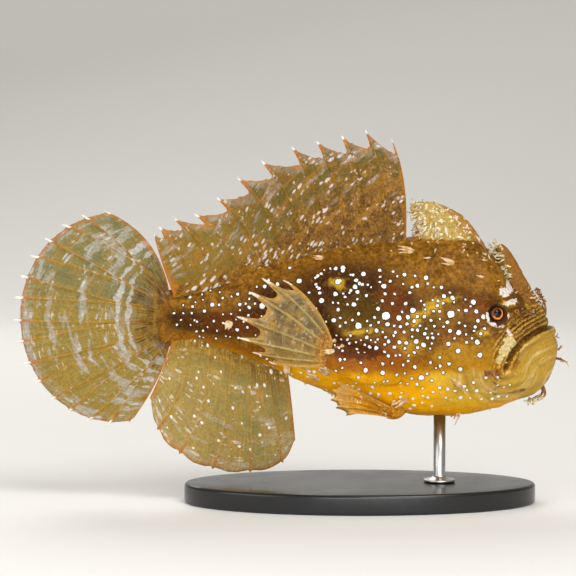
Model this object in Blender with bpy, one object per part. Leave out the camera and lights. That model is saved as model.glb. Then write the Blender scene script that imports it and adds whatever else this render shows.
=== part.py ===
"""Sargassum fish, life size, as a still museum model on a plain display stand.

Metres, +Z up. The head points towards +X and the fish's right side towards -Y.
The origin is the centre of the stand's underside. The sizes below are in millimetres.
"""

import math

import bmesh
import bpy
from mathutils import Vector
from mathutils.bvhtree import BVHTree

MM = 0.001
GAP = 0.3  # clearance between touching pieces
SIDES = {"right": -1, "left": 1}

# Flesh: each row is a slanting cross-section, from the tail root to the mouth.
# top x, top z, bottom x, bottom z, half width, level of the widest point, keel power
BODY_SECTIONS = (
    (-48.7, 53.2, -48.7, 38.8, 2.1, 0.50, 1.0),
    (-42.5, 53.8, -41.5, 40.4, 3.0, 0.50, 1.0),
    (-34.5, 56.4, -33.6, 38.3, 4.5, 0.48, 1.1),
    (-25.0, 59.8, -25.5, 35.4, 6.6, 0.46, 1.25),
    (-13.0, 63.5, -14.0, 30.2, 9.0, 0.45, 1.35),
    (0.0, 65.7, 0.0, 24.8, 11.2, 0.44, 1.35),
    (12.0, 66.5, 11.5, 22.3, 12.6, 0.44, 1.3),
    (21.5, 67.5, 21.0, 21.8, 13.1, 0.44, 1.15),
    (28.6, 66.6, 29.5, 22.7, 12.9, 0.45, 1.0),
    (33.0, 62.0, 37.0, 24.7, 12.2, 0.48, 0.95),
    (36.8, 55.9, 43.0, 27.3, 10.9, 0.50, 0.9),
    (41.0, 50.7, 47.4, 31.7, 8.9, 0.52, 0.85),
    (44.4, 47.6, 49.3, 37.2, 6.9, 0.52, 0.8),
    (46.0, 46.0, 49.1, 41.2, 4.8, 0.50, 0.8),
    (46.6, 45.0, 47.9, 43.4, 2.4, 0.50, 0.8),
)
SPAN_STEPS = (2, 2, 2, 3, 3, 3, 2, 2, 2, 2, 2, 2, 2, 1)  # rings to each span of the table
RING_POINTS = 32
BELLY_POWER = 0.85
LAST_RISING_SECTION = 11.0  # up to here both profiles run forwards

# Gentle swellings of the flank: x, z, height, spread
SWELLINGS = (
    (33.1, 48.4, 0.9, 4.5),
    (30.0, 34.0, 0.8, 9.0),
    (9.0, 36.0, 0.8, 6.0),
)

# Where the flesh is parted, as lines in the side view: x, z, half the gap there
HEAD_LINE = (
    (12.5, 80.0, 0.15),
    (14.0, 60.0, 0.15),
    (17.0, 45.0, 0.15),
    (18.0, 32.0, 0.15),
    (16.5, 5.0, 0.15),
)
STALK_LINE = ((-27.0, 80.0, 0.15), (-29.0, 48.0, 0.15), (-27.0, 10.0, 0.15))
MOUTH_LINE = (
    (60.0, 47.5, 0.3),
    (49.0, 45.2, 0.3),
    (46.5, 44.4, 0.3),
    (44.0, 43.7, 0.3),
    (41.5, 42.5, 0.3),
    (39.1, 40.8, 0.3),
    (37.3, 38.7, 0.3),
    (36.0, 36.3, 0.3),
    (35.4, 34.4, 0.15),
)
THROAT_LINE = ((34.6, 30.6, 0.15), (33.2, 23.5, 0.15), (32.4, 5.0, 0.15))
PRISM_DEPTH = 60.0

# Lips, eyes, nostrils and gill pores
LIP_RADIUS = 0.95
LIP_OFFSET = 1.05
LIP_SUNK = 0.25
LIP_SAMPLES = 10
LIP_CROWDING = 1.6  # the samples crowd towards the snout
LIP_FRONT_Y = 0.8  # half the width of the lip's front span
LIP_THIN = 0.45  # share of the radius left at the corners
LIP_TAPER_SAMPLES = 4
EYE_XZ = (33.1, 48.1)
EYE_RADIUS = 2.2
EYE_SUNK = 1.25
SOCKET_RADIUS = EYE_RADIUS + GAP
ORBIT_RADIUS = 2.75
ORBIT_THICKNESS = 0.62
NOSTRILS = ((41.4, 48.0, 0.75), (38.0, 48.2, 0.6))  # x, z, ring radius
NOSTRIL_THICKNESS = 0.32
GILL_XZ = (-1.5, 29.2)
GILL_RADIUS = 1.2
GILL_THICKNESS = 0.45

# Skin flaps: x, z, length, root width, lean forwards, lean upwards, curl
FLANK_FLAPS = (
    (-9.5, 61.5, 4.0, 1.9, -1.0, -0.1, 0.2),
    (23.0, 60.6, 4.8, 2.1, -1.0, 0.1, 0.1),
    (13.2, 63.2, 4.2, 2.0, -1.0, 0.25, 0.1),
    (-32.5, 46.0, 2.6, 1.9, -0.3, -1.0, 0.1),
    (31.4, 34.6, 3.4, 2.2, 0.3, -1.0, 0.2),
    (33.4, 32.0, 3.2, 2.0, 0.5, -1.0, 0.1),
    (40.5, 28.8, 3.6, 1.6, -1.0, 0.1, 0.1),
    (24.0, 29.6, 3.6, 1.8, -0.8, 0.7, 0.2),
    (-18.5, 34.8, 3.0, 1.8, 0.2, -1.0, 0.2),
    (11.0, 26.6, 3.2, 1.9, -0.8, -0.6, 0.3),
)
CHIN_FLAPS = (
    (49.0, 36.0, 4.2, 1.2, 1.0, -0.15, -0.5),
    (48.8, 40.6, 2.8, 1.0, 0.9, 0.3, 0.5),
    (46.6, 30.8, 4.8, 1.3, -0.1, -1.0, -0.7),
    (25.0, 22.2, 2.8, 1.6, -0.5, -1.0, 0.2),
    (43.4, 27.6, 2.8, 1.1, -0.4, -1.0, -0.4),
)
CHIN_FLAP_SPREAD = 2.6
CHIN_FLAP_SPLAY = 0.25
FLAP_SEGMENTS = 3
FLAP_TIP = 0.5
FLAP_SUNK = 0.7
FLAP_THICKNESS = 0.42
FLAP_LIFT = 0.32

# Free spines on the head
ROD_RING_POINTS = 12
SECOND_SPINE = (
    # outer edge x, z, inner edge x, z, half thickness
    (46.2, 48.0, 41.4, 46.6, 2.1),
    (45.4, 49.9, 40.4, 48.5, 2.2),
    (43.6, 52.8, 38.6, 51.2, 2.1),
    (41.2, 56.6, 36.6, 54.6, 1.8),
    (38.8, 60.6, 34.6, 58.8, 1.5),
    (36.7, 63.6, 33.8, 62.4, 1.2),
    (35.2, 64.9, 33.6, 64.2, 0.7),
)
THIRD_SPINE = (
    (30.9, 65.4, 27.6, 60.5, 2.8),
    (26.6, 70.9, 22.8, 63.0, 3.4),
    (22.2, 73.7, 19.0, 64.0, 3.1),
    (18.2, 75.4, 16.2, 65.0, 2.4),
    (14.4, 75.7, 14.8, 66.8, 1.7),
    (12.0, 74.2, 13.6, 69.8, 1.1),
)
SPINE_STEPS = 2
THIRD_SPINE_FRINGE = (
    # root x, z, length, lean forwards, lean sideways, lean upwards
    (13.8, 75.2, 2.4, -0.6, -0.5, 0.8),
    (13.0, 73.8, 3.0, -0.7, -1.0, 0.0),
    (13.4, 71.8, 2.8, -0.7, 1.0, -0.2),
    (14.6, 69.2, 3.4, -0.5, -1.0, -0.8),
    (16.6, 75.6, 2.2, -0.6, 0.3, 0.9),
)
SECOND_SPINE_FRINGE = (
    (34.2, 64.2, 2.4, -0.6, 0.2, 0.8),
    (34.0, 62.4, 3.2, -1.0, -0.3, 0.2),
    (34.8, 60.6, 3.0, -1.0, 0.4, -0.1),
    (36.2, 57.6, 2.6, -1.0, -0.4, -0.3),
)
FRINGE_WIDTH = 1.3
LURE_CURVE = ((45.4, 45.6), (48.0, 48.0), (44.3, 53.4))  # laid back along the second spine
LURE_STEPS = 5
LURE_RADIUS = 0.3
LURE_BULB = 0.75

# Fins: ray roots run from the first to the last, tips as x, z.
# Bow of the rays: forwards, how much less along the fin, how much more at its rear edge, level of the bow.
# Wave out of the plane: size, place where it starts, length scale
REAR_BOW_POWER = 6
DORSAL_ROOT_X = (11.3, -46.4)
DORSAL_SUNK = 1.6
DORSAL_BOW = (1.2, 2.2, 2.5, 0.64)
DORSAL_WAVE = (1.6, -6.0, 9.0)
DORSAL_TIPS = (
    (7.8, 91.0),
    (1.2, 93.2),
    (-4.8, 91.8),
    (-11.0, 90.5),
    (-17.2, 89.0),
    (-24.8, 85.5),
    (-30.8, 81.3),
    (-36.0, 76.3),
    (-41.5, 72.2),
    (-47.0, 71.4),
    (-50.4, 69.0),
    (-51.6, 67.3),
)
ANAL_ROOT_X = (-18.2, -46.8)
ANAL_SUNK = 1.5
ANAL_BOW = (1.5, 2.0, 2.0, 0.6)
ANAL_WAVE = (1.9, -37.9, 9.0)
ANAL_TIPS = (
    (-16.2, 15.4),
    (-19.2, 9.6),
    (-27.5, 7.2),
    (-37.0, 8.2),
    (-45.3, 12.2),
    (-50.8, 18.4),
    (-52.5, 26.3),
)
TAIL_FAN_CENTRE = (-42.0, 46.0)
TAIL_FAN_ANGLES = (51.0, -59.0)
TAIL_FAN_RADIUS = 44.8
TAIL_FAN_SHORTER = 9.8  # how much shorter the outermost rays are
TAIL_FAN_POWER = 2.2
TAIL_BEND_ABOVE = (5.6, 5.2)  # how far the uppermost ray bows forwards and upwards
TAIL_BEND_BELOW = (3.6, 1.2)
TAIL_RAYS = 9
TAIL_FORK = 0.38
TAIL_FORK_POWER = 1.15
TAIL_STEM_SHARE = 0.1
TAIL_WAVE = (-2.2, 46.0, 13.0)
TAIL_ROOT_X = -48.0
TAIL_ROOT_Z = (52.6, 39.4)

# Paired fins, given for the right side
ARM_PATH = ((12.0, -8.0, 35.6), (3.0, -13.6, 34.9), (-3.5, -15.8, 36.6), (-7.6, -16.8, 38.5))
ARM_HALF_HEIGHT = (5.0, 4.3, 3.8, 3.3)
ARM_HALF_DEPTH = (3.0, 2.6, 2.0, 1.3)
HAND_ROOTS = ((-7.5, -16.9, 41.4), (-9.3, -16.7, 36.2))
HAND_TIPS = (
    (-19.2, -17.6, 56.6),
    (-24.3, -20.2, 57.2),
    (-27.4, -21.8, 54.0),
    (-30.4, -22.2, 48.0),
    (-29.8, -21.0, 42.7),
    (-26.6, -18.8, 39.1),
    (-22.6, -16.6, 36.6),
)
HAND_TILT = 1.6  # the left hand is turned a little outwards and down
HAND_BOW_FIRST = (2.2, 1.0, 3.4)
HAND_BOW_LAST = (-0.4, 0.8, -1.2)
HAND_BOW_POWER = 1.5
PELVIC_STALK = ((11.5, -3.6, 25.6), (9.0, -5.6, 23.6), (6.6, -6.6, 23.4))
PELVIC_STALK_HALF = ((1.5, 1.9, 1.7), (1.2, 1.2, 0.8))
PELVIC_ROOTS = ((6.0, -7.4, 24.8), (6.4, -5.8, 21.9))
PELVIC_TIPS = (
    (-5.8, -12.4, 31.4),
    (-7.2, -12.6, 29.4),
    (-7.2, -12.3, 27.2),
    (-5.8, -11.5, 25.2),
    (-3.2, -10.3, 23.4),
)
PELVIC_BOW = (0.0, 1.4, 0.6)
PELVIC_OVERLAP = 1.2  # how far the spread's roots reach into the stalk
PELVIC_DROOP = 2.8  # the left pelvic fin hangs lower

# Display stand
BASE_LENGTH = 88.0
BASE_DEPTH = 50.0
BASE_HEIGHT = 5.0
BASE_BEVEL = 0.8
ROD_X = 20.0
ROD_RADIUS = 1.5
COLLAR_RADIUS = 4.0
COLLAR_HEIGHT = 1.6
COLLAR_EDGE_SHARE = 0.6  # of its height and radius, where the collar turns in
COLLAR_TOP_SHARE = 1.1
BASE_POINTS = 48
ROD_POINTS = 18

COLOURS = {
    # linear base colour, roughness, metallic
    "skin": ((0.32, 0.13, 0.016), 0.38, 0.0),
    "jaw_skin": ((0.56, 0.36, 0.06), 0.36, 0.0),
    "fin": ((0.30, 0.18, 0.035), 0.34, 0.0),
    "eye": ((0.05, 0.02, 0.006), 0.08, 0.0),
    "base": ((0.03, 0.03, 0.032), 0.4, 0.0),
    "steel": ((0.6, 0.6, 0.58), 0.28, 1.0),
}


def spline(rows, place):
    """Catmull-Rom value through rows of numbers; place runs from 0 to the last row."""
    last = len(rows) - 1
    first = min(int(place), last - 1)
    f = place - first
    a, b, c, d = (rows[min(max(first + k, 0), last)] for k in (-1, 0, 1, 2))
    return [
        0.5 * (2 * q + (r - p) * f + (2 * p - 5 * q + 4 * r - s) * f * f + (3 * q - p - 3 * r + s) * f ** 3)
        for p, q, r, s in zip(a, b, c, d)
    ]


def bezier(start, bend, end, t):
    return start * (1 - t) ** 2 + bend * (2 * t * (1 - t)) + end * t * t


def smooth(t):
    t = min(max(t, 0.0), 1.0)
    return t * t * (3 - 2 * t)


def material(name):
    made = bpy.data.materials.get(name)
    if made:
        return made
    colour, roughness, metallic = COLOURS[name]
    made = bpy.data.materials.new(name)
    made.use_nodes = True
    shader = made.node_tree.nodes["Principled BSDF"]
    shader.inputs["Base Color"].default_value = (*colour, 1.0)
    shader.inputs["Roughness"].default_value = roughness
    shader.inputs["Metallic"].default_value = metallic
    return made


def solid(name, points, faces, finish="skin"):
    """A mesh object from points in millimetres."""
    mesh = bpy.data.meshes.new(name)
    mesh.from_pydata([Vector(p) * MM for p in points], [], faces)
    work = bmesh.new()
    work.from_mesh(mesh)
    bmesh.ops.recalc_face_normals(work, faces=work.faces)
    work.to_mesh(mesh)
    work.free()
    mesh.materials.append(material(finish))
    mesh.shade_smooth()
    mesh.set_sharp_from_angle(angle=math.radians(40))
    made = bpy.data.objects.new(name, mesh)
    bpy.context.scene.collection.objects.link(made)
    return made


def loft(name, rings, finish="skin"):
    """Closed surface through rings of points, with a fan of triangles closing each end."""
    count = len(rings[0])
    points = [p for ring in rings for p in ring]
    faces = []
    for i in range(len(rings) - 1):
        for k in range(count):
            n = (k + 1) % count
            faces.append((i * count + k, i * count + n, (i + 1) * count + n, (i + 1) * count + k))
    for i in (0, len(rings) - 1):
        centre = len(points)
        points.append(sum((Vector(p) for p in rings[i]), Vector()) / count)
        faces += [(i * count + k, i * count + (k + 1) % count, centre) for k in range(count)]
    return solid(name, points, faces, finish)


def tube_rings(path, sizes, side, count):
    """Elliptical rings along a path; sizes are (half size along side, half size across it)."""
    rings = []
    for i, centre in enumerate(path):
        before, after = path[max(i - 1, 0)], path[min(i + 1, len(path) - 1)]
        along = (after - before).normalized()
        first = (side - along * side.dot(along)).normalized()
        second = along.cross(first)
        wide, deep = sizes[i]
        rings.append([
            centre + first * (wide * math.cos(a)) + second * (deep * math.sin(a))
            for a in (2 * math.pi * k / count for k in range(count))
        ])
    return rings


def applied(obj):
    """Bakes the object's modifiers into its mesh."""
    graph = bpy.context.evaluated_depsgraph_get()
    mesh = bpy.data.meshes.new_from_object(obj.evaluated_get(graph))
    obj.modifiers.clear()
    obj.data = mesh
    return obj


def remove(*objects):
    for obj in objects:
        bpy.data.objects.remove(obj)


def joined(target, pieces, solver="EXACT"):
    """Unites the target with every piece in one Boolean."""
    group = bpy.data.collections.new(target.name + "_pieces")
    for piece in pieces:
        group.objects.link(piece)
    union = target.modifiers.new("join", "BOOLEAN")
    union.operation = "UNION"
    union.operand_type = "COLLECTION"
    union.collection = group
    union.solver = solver
    applied(target)
    remove(*pieces)
    bpy.data.collections.remove(group)
    return largest(target)


def carved(target, cutter, operation="DIFFERENCE", solver="EXACT"):
    cut = target.modifiers.new("cut", "BOOLEAN")
    cut.operation = operation
    cut.object = cutter
    cut.solver = solver
    return largest(applied(target))


def largest(obj):
    """Keeps only the object's largest closed surface."""
    work = bmesh.new()
    work.from_mesh(obj.data)
    left = set(work.verts)
    islands = []
    while left:
        seed = left.pop()
        island, front = {seed}, [seed]
        while front:
            for edge in front.pop().link_edges:
                for vert in edge.verts:
                    if vert in left:
                        left.discard(vert)
                        island.add(vert)
                        front.append(vert)
        islands.append(island)
    islands.sort(key=len)
    for island in islands[:-1]:
        bmesh.ops.delete(work, geom=list(island), context="VERTS")
    work.to_mesh(obj.data)
    work.free()
    return obj


def swelling(x, z):
    total = 0.0
    for centre_x, centre_z, high, spread in SWELLINGS:
        total += high * math.exp(-((x - centre_x) ** 2 + (z - centre_z) ** 2) / spread ** 2)
    return total


def body_ring(place):
    top_x, top_z, low_x, low_z, wide, level, keel = spline(BODY_SECTIONS, place)
    ring = []
    for k in range(RING_POINTS):
        angle = 2 * math.pi * k / RING_POINTS
        up, out = math.cos(angle), math.sin(angle)
        share = level + up * (1 - level if up > 0 else level)
        x = low_x + (top_x - low_x) * share
        z = low_z + (top_z - low_z) * share
        bulge = (wide + swelling(x, z)) * abs(out) ** (keel if up > 0 else BELLY_POWER)
        ring.append(Vector((x, math.copysign(bulge, out), z)))
    return ring


def body(name):
    rings = [body_ring(0)]
    for span, steps in enumerate(SPAN_STEPS):
        rings += [body_ring(span + (k + 1) / steps) for k in range(steps)]
    return loft(name, rings)


def grown(source, name, by=GAP):
    """A copy of the source whose surface stands off by the clearance."""
    work = bmesh.new()
    work.from_mesh(source.data)
    work.normal_update()
    for vert in work.verts:
        vert.co += vert.normal * by * MM
    mesh = bpy.data.meshes.new(name)
    work.to_mesh(mesh)
    work.free()
    made = bpy.data.objects.new(name, mesh)
    bpy.context.scene.collection.objects.link(made)
    return made


class Skin:
    """Finds places on the flesh from the side view."""

    def __init__(self, obj):
        work = bmesh.new()
        work.from_mesh(obj.data)
        self.tree = BVHTree.FromBMesh(work)
        work.free()

    def hit(self, x, z, side):
        start = Vector((x, side * PRISM_DEPTH, z)) * MM
        place, normal, _, _ = self.tree.ray_cast(start, Vector((0, -side, 0)))
        return (place / MM, normal) if place else None

    def near(self, point):
        place, normal, _, _ = self.tree.find_nearest(point * MM)
        return place / MM, normal


def profile_height(x, column):
    """Level of the back (column 0) or the belly (column 2) at a place along the midline."""
    low, high = 0.0, LAST_RISING_SECTION
    for _ in range(30):
        middle = (low + high) / 2
        if spline(BODY_SECTIONS, middle)[column] < x:
            low = middle
        else:
            high = middle
    return spline(BODY_SECTIONS, low)[column + 1]


def shifted(line, side):
    """The line moved sideways by its own half gaps; side 1 is to the left of its direction."""
    moved = []
    for i, (x, z, half) in enumerate(line):
        before, after = line[max(i - 1, 0)], line[min(i + 1, len(line) - 1)]
        along = Vector((after[0] - before[0], after[1] - before[1])).normalized()
        moved.append((x - along.y * half * side, z + along.x * half * side))
    return moved


def prism(name, outline):
    """A slab across the fish whose side view is the outline."""
    points = [Vector((x, y, z)) for y in (-PRISM_DEPTH, PRISM_DEPTH) for x, z in outline]
    n = len(outline)
    faces = [tuple(range(n)), tuple(range(n, 2 * n))]
    faces += [(k, (k + 1) % n, n + (k + 1) % n, n + k) for k in range(n)]
    return solid(name, points, faces)


def ring_around(name, centre, normal, radius, thickness, turns=10, around=5):
    """A torus lying on the skin."""
    side = normal.cross(Vector((0, 0, 1))).normalized()
    across = normal.cross(side)
    rings = []
    for i in range(turns):
        a = 2 * math.pi * i / turns
        out = side * math.cos(a) + across * math.sin(a)
        rings.append([
            centre + out * (radius + thickness * math.cos(b)) + normal * (thickness * math.sin(b))
            for b in (2 * math.pi * k / around for k in range(around))
        ])
    points = [p for ring in rings for p in ring]
    faces = [
        (i * around + k, i * around + (k + 1) % around,
         (i + 1) % turns * around + (k + 1) % around, (i + 1) % turns * around + k)
        for i in range(turns) for k in range(around)
    ]
    return solid(name, points, faces)


def ball(name, centre, radius, finish="skin", rows=8, count=16):
    rings = []
    for i in range(1, rows):
        a = math.pi * i / rows
        rings.append([
            centre + Vector((math.cos(b) * math.sin(a), math.sin(b) * math.sin(a), math.cos(a))) * radius
            for b in (2 * math.pi * k / count for k in range(count))
        ])
    made = loft(name, rings, finish)
    for vert, level in zip(made.data.vertices[-2:], (radius, -radius)):
        vert.co = (centre + Vector((0, 0, level))) * MM
    return made


def flap(name, root, lean, normal, length, width, curl):
    """A tapering, flattened flap of skin with its root sunk in."""
    along = (lean + normal * FLAP_LIFT).normalized()
    path = [root - normal * FLAP_SUNK]
    place = root.copy()
    for i in range(FLAP_SEGMENTS):
        path.append(place.copy())
        along = (along + Vector((0, 0, curl / FLAP_SEGMENTS))).normalized()
        place += along * (length / FLAP_SEGMENTS)
    path.append(place)
    sizes = []
    for i in range(len(path)):
        share = i / (len(path) - 1)
        wide = width * 0.5 * (1 - share) ** 0.6 + FLAP_TIP * 0.5 * share
        sizes.append((wide, max(FLAP_THICKNESS * (1 - 0.35 * share), FLAP_TIP * 0.5)))
    side = along.cross(normal).normalized()
    return loft(name, tube_rings(path, sizes, side, 6))


def lip(name, skin, side_of_line):
    """A rounded ridge that follows the mouth from one corner round the snout to the other."""
    rows = shifted([(x, z, LIP_OFFSET) for x, z, _ in MOUTH_LINE[2:]], side_of_line)
    flank = []
    for i in range(LIP_SAMPLES + 1):
        share = 1 - (1 - i / LIP_SAMPLES) ** LIP_CROWDING
        x, z = spline(rows, (len(rows) - 1) * (1 - share))
        found = skin.hit(x, z, -1)
        if found:
            flank.append(found[0] - found[1] * LIP_SUNK)
    flank[-1].y = min(flank[-1].y, -LIP_FRONT_Y)
    path = flank + [Vector((p.x, -p.y, p.z)) for p in reversed(flank)]
    count = len(path)
    sizes = []
    for i in range(count):
        taper = LIP_THIN + (1 - LIP_THIN) * smooth(min(i, count - 1 - i) / LIP_TAPER_SAMPLES)
        sizes.append((LIP_RADIUS * taper, LIP_RADIUS * taper))
    return loft(name, tube_rings(path, sizes, Vector((0.3, 0, 1)), 7))


def face_pieces(skin):
    """Lips, eye rims, nostrils, gill pores and skin flaps, to be fused to the flesh."""
    pieces = [lip("upper_lip", skin, -1), lip("lower_lip", skin, 1)]
    for word, side in SIDES.items():
        place, normal = skin.hit(*EYE_XZ, side)
        pieces.append(ring_around(f"orbit_{word}", place, normal, ORBIT_RADIUS, ORBIT_THICKNESS, 16, 6))
        for i, (x, z, radius) in enumerate(NOSTRILS):
            place, normal = skin.hit(x, z, side)
            pieces.append(ring_around(f"nostril_{word}_{i}", place, normal, radius, NOSTRIL_THICKNESS))
        place, normal = skin.hit(*GILL_XZ, side)
        pieces.append(ring_around(f"gill_{word}", place, normal, GILL_RADIUS, GILL_THICKNESS))
        for i, (x, z, length, width, forwards, upwards, curl) in enumerate(FLANK_FLAPS):
            place, normal = skin.hit(x, z, side)
            lean = Vector((forwards, 0, upwards)).normalized()
            pieces.append(flap(f"flap_{word}_{i}", place, lean, normal, length, width, curl))
        for i, (x, z, length, width, forwards, upwards, curl) in enumerate(CHIN_FLAPS):
            place, normal = skin.near(Vector((x, side * CHIN_FLAP_SPREAD, z)))
            lean = Vector((forwards, side * CHIN_FLAP_SPLAY, upwards)).normalized()
            pieces.append(flap(f"chin_{word}_{i}", place, lean, normal, length, width, curl))
    return pieces


def flesh(skin_source, skin):
    """Head, lower jaw, trunk and tail stalk, parted by thin cuts."""
    whole = joined(skin_source, face_pieces(skin), "MANIFOLD")
    for side in SIDES.values():
        place, normal = skin.hit(*EYE_XZ, side)
        socket = ball("socket", place - normal * EYE_SUNK, SOCKET_RADIUS)
        carved(whole, socket, solver="MANIFOLD")
        remove(socket)
    far, high, low = 70.0, 100.0, -5.0
    jaw_line = MOUTH_LINE + THROAT_LINE
    above_head = [(far, high), (HEAD_LINE[0][0], high)]
    outlines = {
        "head": shifted(HEAD_LINE, 1) + list(reversed(shifted(jaw_line, -1))) + above_head,
        "lower_jaw": shifted(jaw_line, 1) + [(far, low)],
        "trunk": shifted(STALK_LINE, 1) + list(reversed(shifted(HEAD_LINE, -1))),
        "tail_stalk": list(reversed(shifted(STALK_LINE, -1))) + [(-far, high), (-far, low)],
    }
    for name, outline in outlines.items():
        node = bpy.data.objects.new(name, whole.data.copy())
        bpy.context.scene.collection.objects.link(node)
        region = prism("region", outline)
        carved(node, region, "INTERSECT", "MANIFOLD")
        remove(region)
        if name == "lower_jaw":
            node.data.materials[0] = material("jaw_skin")
    remove(whole)


def eyes(skin):
    for word, side in SIDES.items():
        place, normal = skin.hit(*EYE_XZ, side)
        ball(f"eye_{word}", place - normal * EYE_SUNK, EYE_RADIUS, "eye")


class FanLook:
    """Thicknesses and margin of a fin, all in millimetres or as shares of the ray."""

    def __init__(self, rows, root_half, ray_half=(0.75, 0.32), membrane_half=0.27, ray_width=0.6,
                 margins=(0.9, 0.88, 0.94), flesh_power=2.4):
        self.rows = rows
        self.root_half = root_half
        self.ray_half = ray_half
        self.membrane_half = membrane_half
        self.ray_width = ray_width
        self.margins = margins
        self.flesh_power = flesh_power

    def half(self, t, from_ray):
        """Half the fin's thickness at a share of its length and a distance from the nearest ray."""
        ray = self.ray_half[0] + (self.ray_half[1] - self.ray_half[0]) * t
        ridge = max(0.0, 1 - from_ray / self.ray_width)
        thin = self.membrane_half + (ray - self.membrane_half) * ridge
        return thin + max(self.root_half - thin, 0.0) * (1 - t) ** self.flesh_power


def fan(name, rays, look, sway=None, finish="fin"):
    """A fin: rays as ridges on a thin membrane. Each ray is a function from 0 at its root to 1 at its tip."""
    columns = []
    behind, middle, ahead = look.margins
    for i, ray in enumerate(rays):
        if i:
            columns.append((i - 1, "ahead", ahead))
        columns.append((i, "ray", 1.0))
        if i < len(rays) - 1:
            columns.append((i, "behind", behind))
            columns.append((i, "middle", middle))
    front, halves = [], []
    for i, kind, margin in columns:
        for k in range(look.rows + 1):
            t = margin * (k / look.rows) ** 0.9
            here = rays[i](t)
            if kind == "ray":
                place, from_ray = here, 0.0
            else:
                beyond = rays[i + 1](t)
                space = (beyond - here).length
                share = min(0.3, look.ray_width / max(space, 1e-6))
                f = {"behind": share, "middle": 0.5, "ahead": 1 - share}[kind]
                place, from_ray = here.lerp(beyond, f), min(f, 1 - f) * space
            front.append(place + sway(place, t) if sway else place)
            halves.append(look.half(t, from_ray))
    wide, high = len(columns), look.rows + 1

    def at(c, r):
        return front[min(max(c, 0), wide - 1) * high + min(max(r, 0), high - 1)]

    points = []
    for face in (1, -1):
        for c in range(wide):
            for r in range(high):
                across = (at(c + 1, r) - at(c - 1, r)).cross(at(c, r + 1) - at(c, r - 1)).normalized()
                points.append(at(c, r) + across * halves[c * high + r] * face)
    back = wide * high
    faces = []
    for c in range(wide - 1):
        for r in range(high - 1):
            a, b = c * high + r, (c + 1) * high + r
            for tri in ((a, b + 1, a + 1), (a, b, b + 1)):
                faces.append(tri)
                faces.append(tuple(back + v for v in reversed(tri)))
    rim = [c * high for c in range(wide)]
    rim += [(wide - 1) * high + r for r in range(1, high)]
    rim += [c * high + high - 1 for c in range(wide - 2, -1, -1)]
    rim += [r for r in range(high - 2, 0, -1)]
    for k, a in enumerate(rim):
        b = rim[(k + 1) % len(rim)]
        faces += [(a, b, back + b), (a, back + b, back + a)]
    return solid(name, points, faces, finish)


def simple_ray(root, bend, tip):
    return lambda t: bezier(root, bend, tip, t)


def wave(size, start, length, axis):
    """Sway of a fin out of its plane, which grows towards the tips."""
    return lambda place, t: Vector((0, size * t * t * math.sin((place[axis] - start) / length), 0))


def midline_rays(root_x, column, lift, tips, bow):
    """Rays of the fin along the back (column 0) or the belly (column 2)."""
    forwards, less, rear, level = bow
    last = len(tips) - 1
    rays = []
    for i, (tip_x, tip_z) in enumerate(tips):
        share = i / last
        x = root_x[0] + (root_x[1] - root_x[0]) * share
        root = Vector((x, 0, profile_height(x, column) + lift))
        tip = Vector((tip_x, 0, tip_z))
        bend_x = x + forwards - less * share - rear * share ** REAR_BOW_POWER
        bend = Vector((bend_x, 0, root.z + (tip.z - root.z) * level))
        rays.append(simple_ray(root, bend, tip))
    return rays


def dorsal_fin(clearance):
    rays = midline_rays(DORSAL_ROOT_X, 0, -DORSAL_SUNK, DORSAL_TIPS, DORSAL_BOW)
    look = FanLook(7, 1.7, ray_half=(0.8, 0.34), margins=(0.82, 0.85, 0.93))
    return carved(fan("dorsal_fin", rays, look, wave(*DORSAL_WAVE, 0)), clearance)


def anal_fin(clearance):
    rays = midline_rays(ANAL_ROOT_X, 2, ANAL_SUNK, ANAL_TIPS, ANAL_BOW)
    look = FanLook(7, 1.4, ray_half=(0.7, 0.32), margins=(0.975, 0.995, 0.98))
    return carved(fan("anal_fin", rays, look, wave(*ANAL_WAVE, 0)), clearance)


def tail_tip(share):
    """Tip of the tail fan at a share of the way from its top to its bottom."""
    angle = TAIL_FAN_ANGLES[0] + (TAIL_FAN_ANGLES[1] - TAIL_FAN_ANGLES[0]) * share
    radius = TAIL_FAN_RADIUS - TAIL_FAN_SHORTER * (abs(angle) / TAIL_FAN_ANGLES[0]) ** TAIL_FAN_POWER
    turn = math.radians(angle)
    centre_x, centre_z = TAIL_FAN_CENTRE
    return Vector((centre_x - radius * math.cos(turn), 0, centre_z + radius * math.sin(turn)))


def tail_fin(clearance):
    branches = 2 * TAIL_RAYS - 2
    rays = []
    for i in range(TAIL_RAYS):
        share = i / (TAIL_RAYS - 1)
        z = TAIL_ROOT_Z[0] + (TAIL_ROOT_Z[1] - TAIL_ROOT_Z[0]) * share
        root = Vector((TAIL_ROOT_X, 0, z))
        twigs = [0] if i == 0 else [branches - 1] if i == TAIL_RAYS - 1 else [2 * i - 1, 2 * i]
        tips = [tail_tip(k / (branches - 1)) for k in twigs]
        middle = sum(tips, Vector()) / len(tips)
        level = (z - (TAIL_ROOT_Z[0] + TAIL_ROOT_Z[1]) / 2) / (TAIL_ROOT_Z[0] - TAIL_ROOT_Z[1]) * 2
        over, up = TAIL_BEND_ABOVE if level > 0 else TAIL_BEND_BELOW
        bend = root.lerp(middle, 0.5) + Vector((over, 0, up)) * level * level
        for tip in tips:
            apart = tip - middle

            def twig(t, root=root, bend=bend, middle=middle, apart=apart):
                beyond = max(0.0, (t - TAIL_FORK) / (1 - TAIL_FORK)) ** TAIL_FORK_POWER
                spread = TAIL_STEM_SHARE + (1 - TAIL_STEM_SHARE) * beyond
                return bezier(root, bend, middle, t) + apart * spread

            rays.append(twig)
    look = FanLook(7, 1.7, ray_half=(0.8, 0.34), margins=(0.945, 0.94, 0.945), ray_width=0.55)
    return carved(fan("caudal_fin", rays, look, wave(*TAIL_WAVE, 2)), clearance, solver="MANIFOLD")


def mirrored(point, side):
    return Vector((point[0], point[1] * -side, point[2]))


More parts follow.
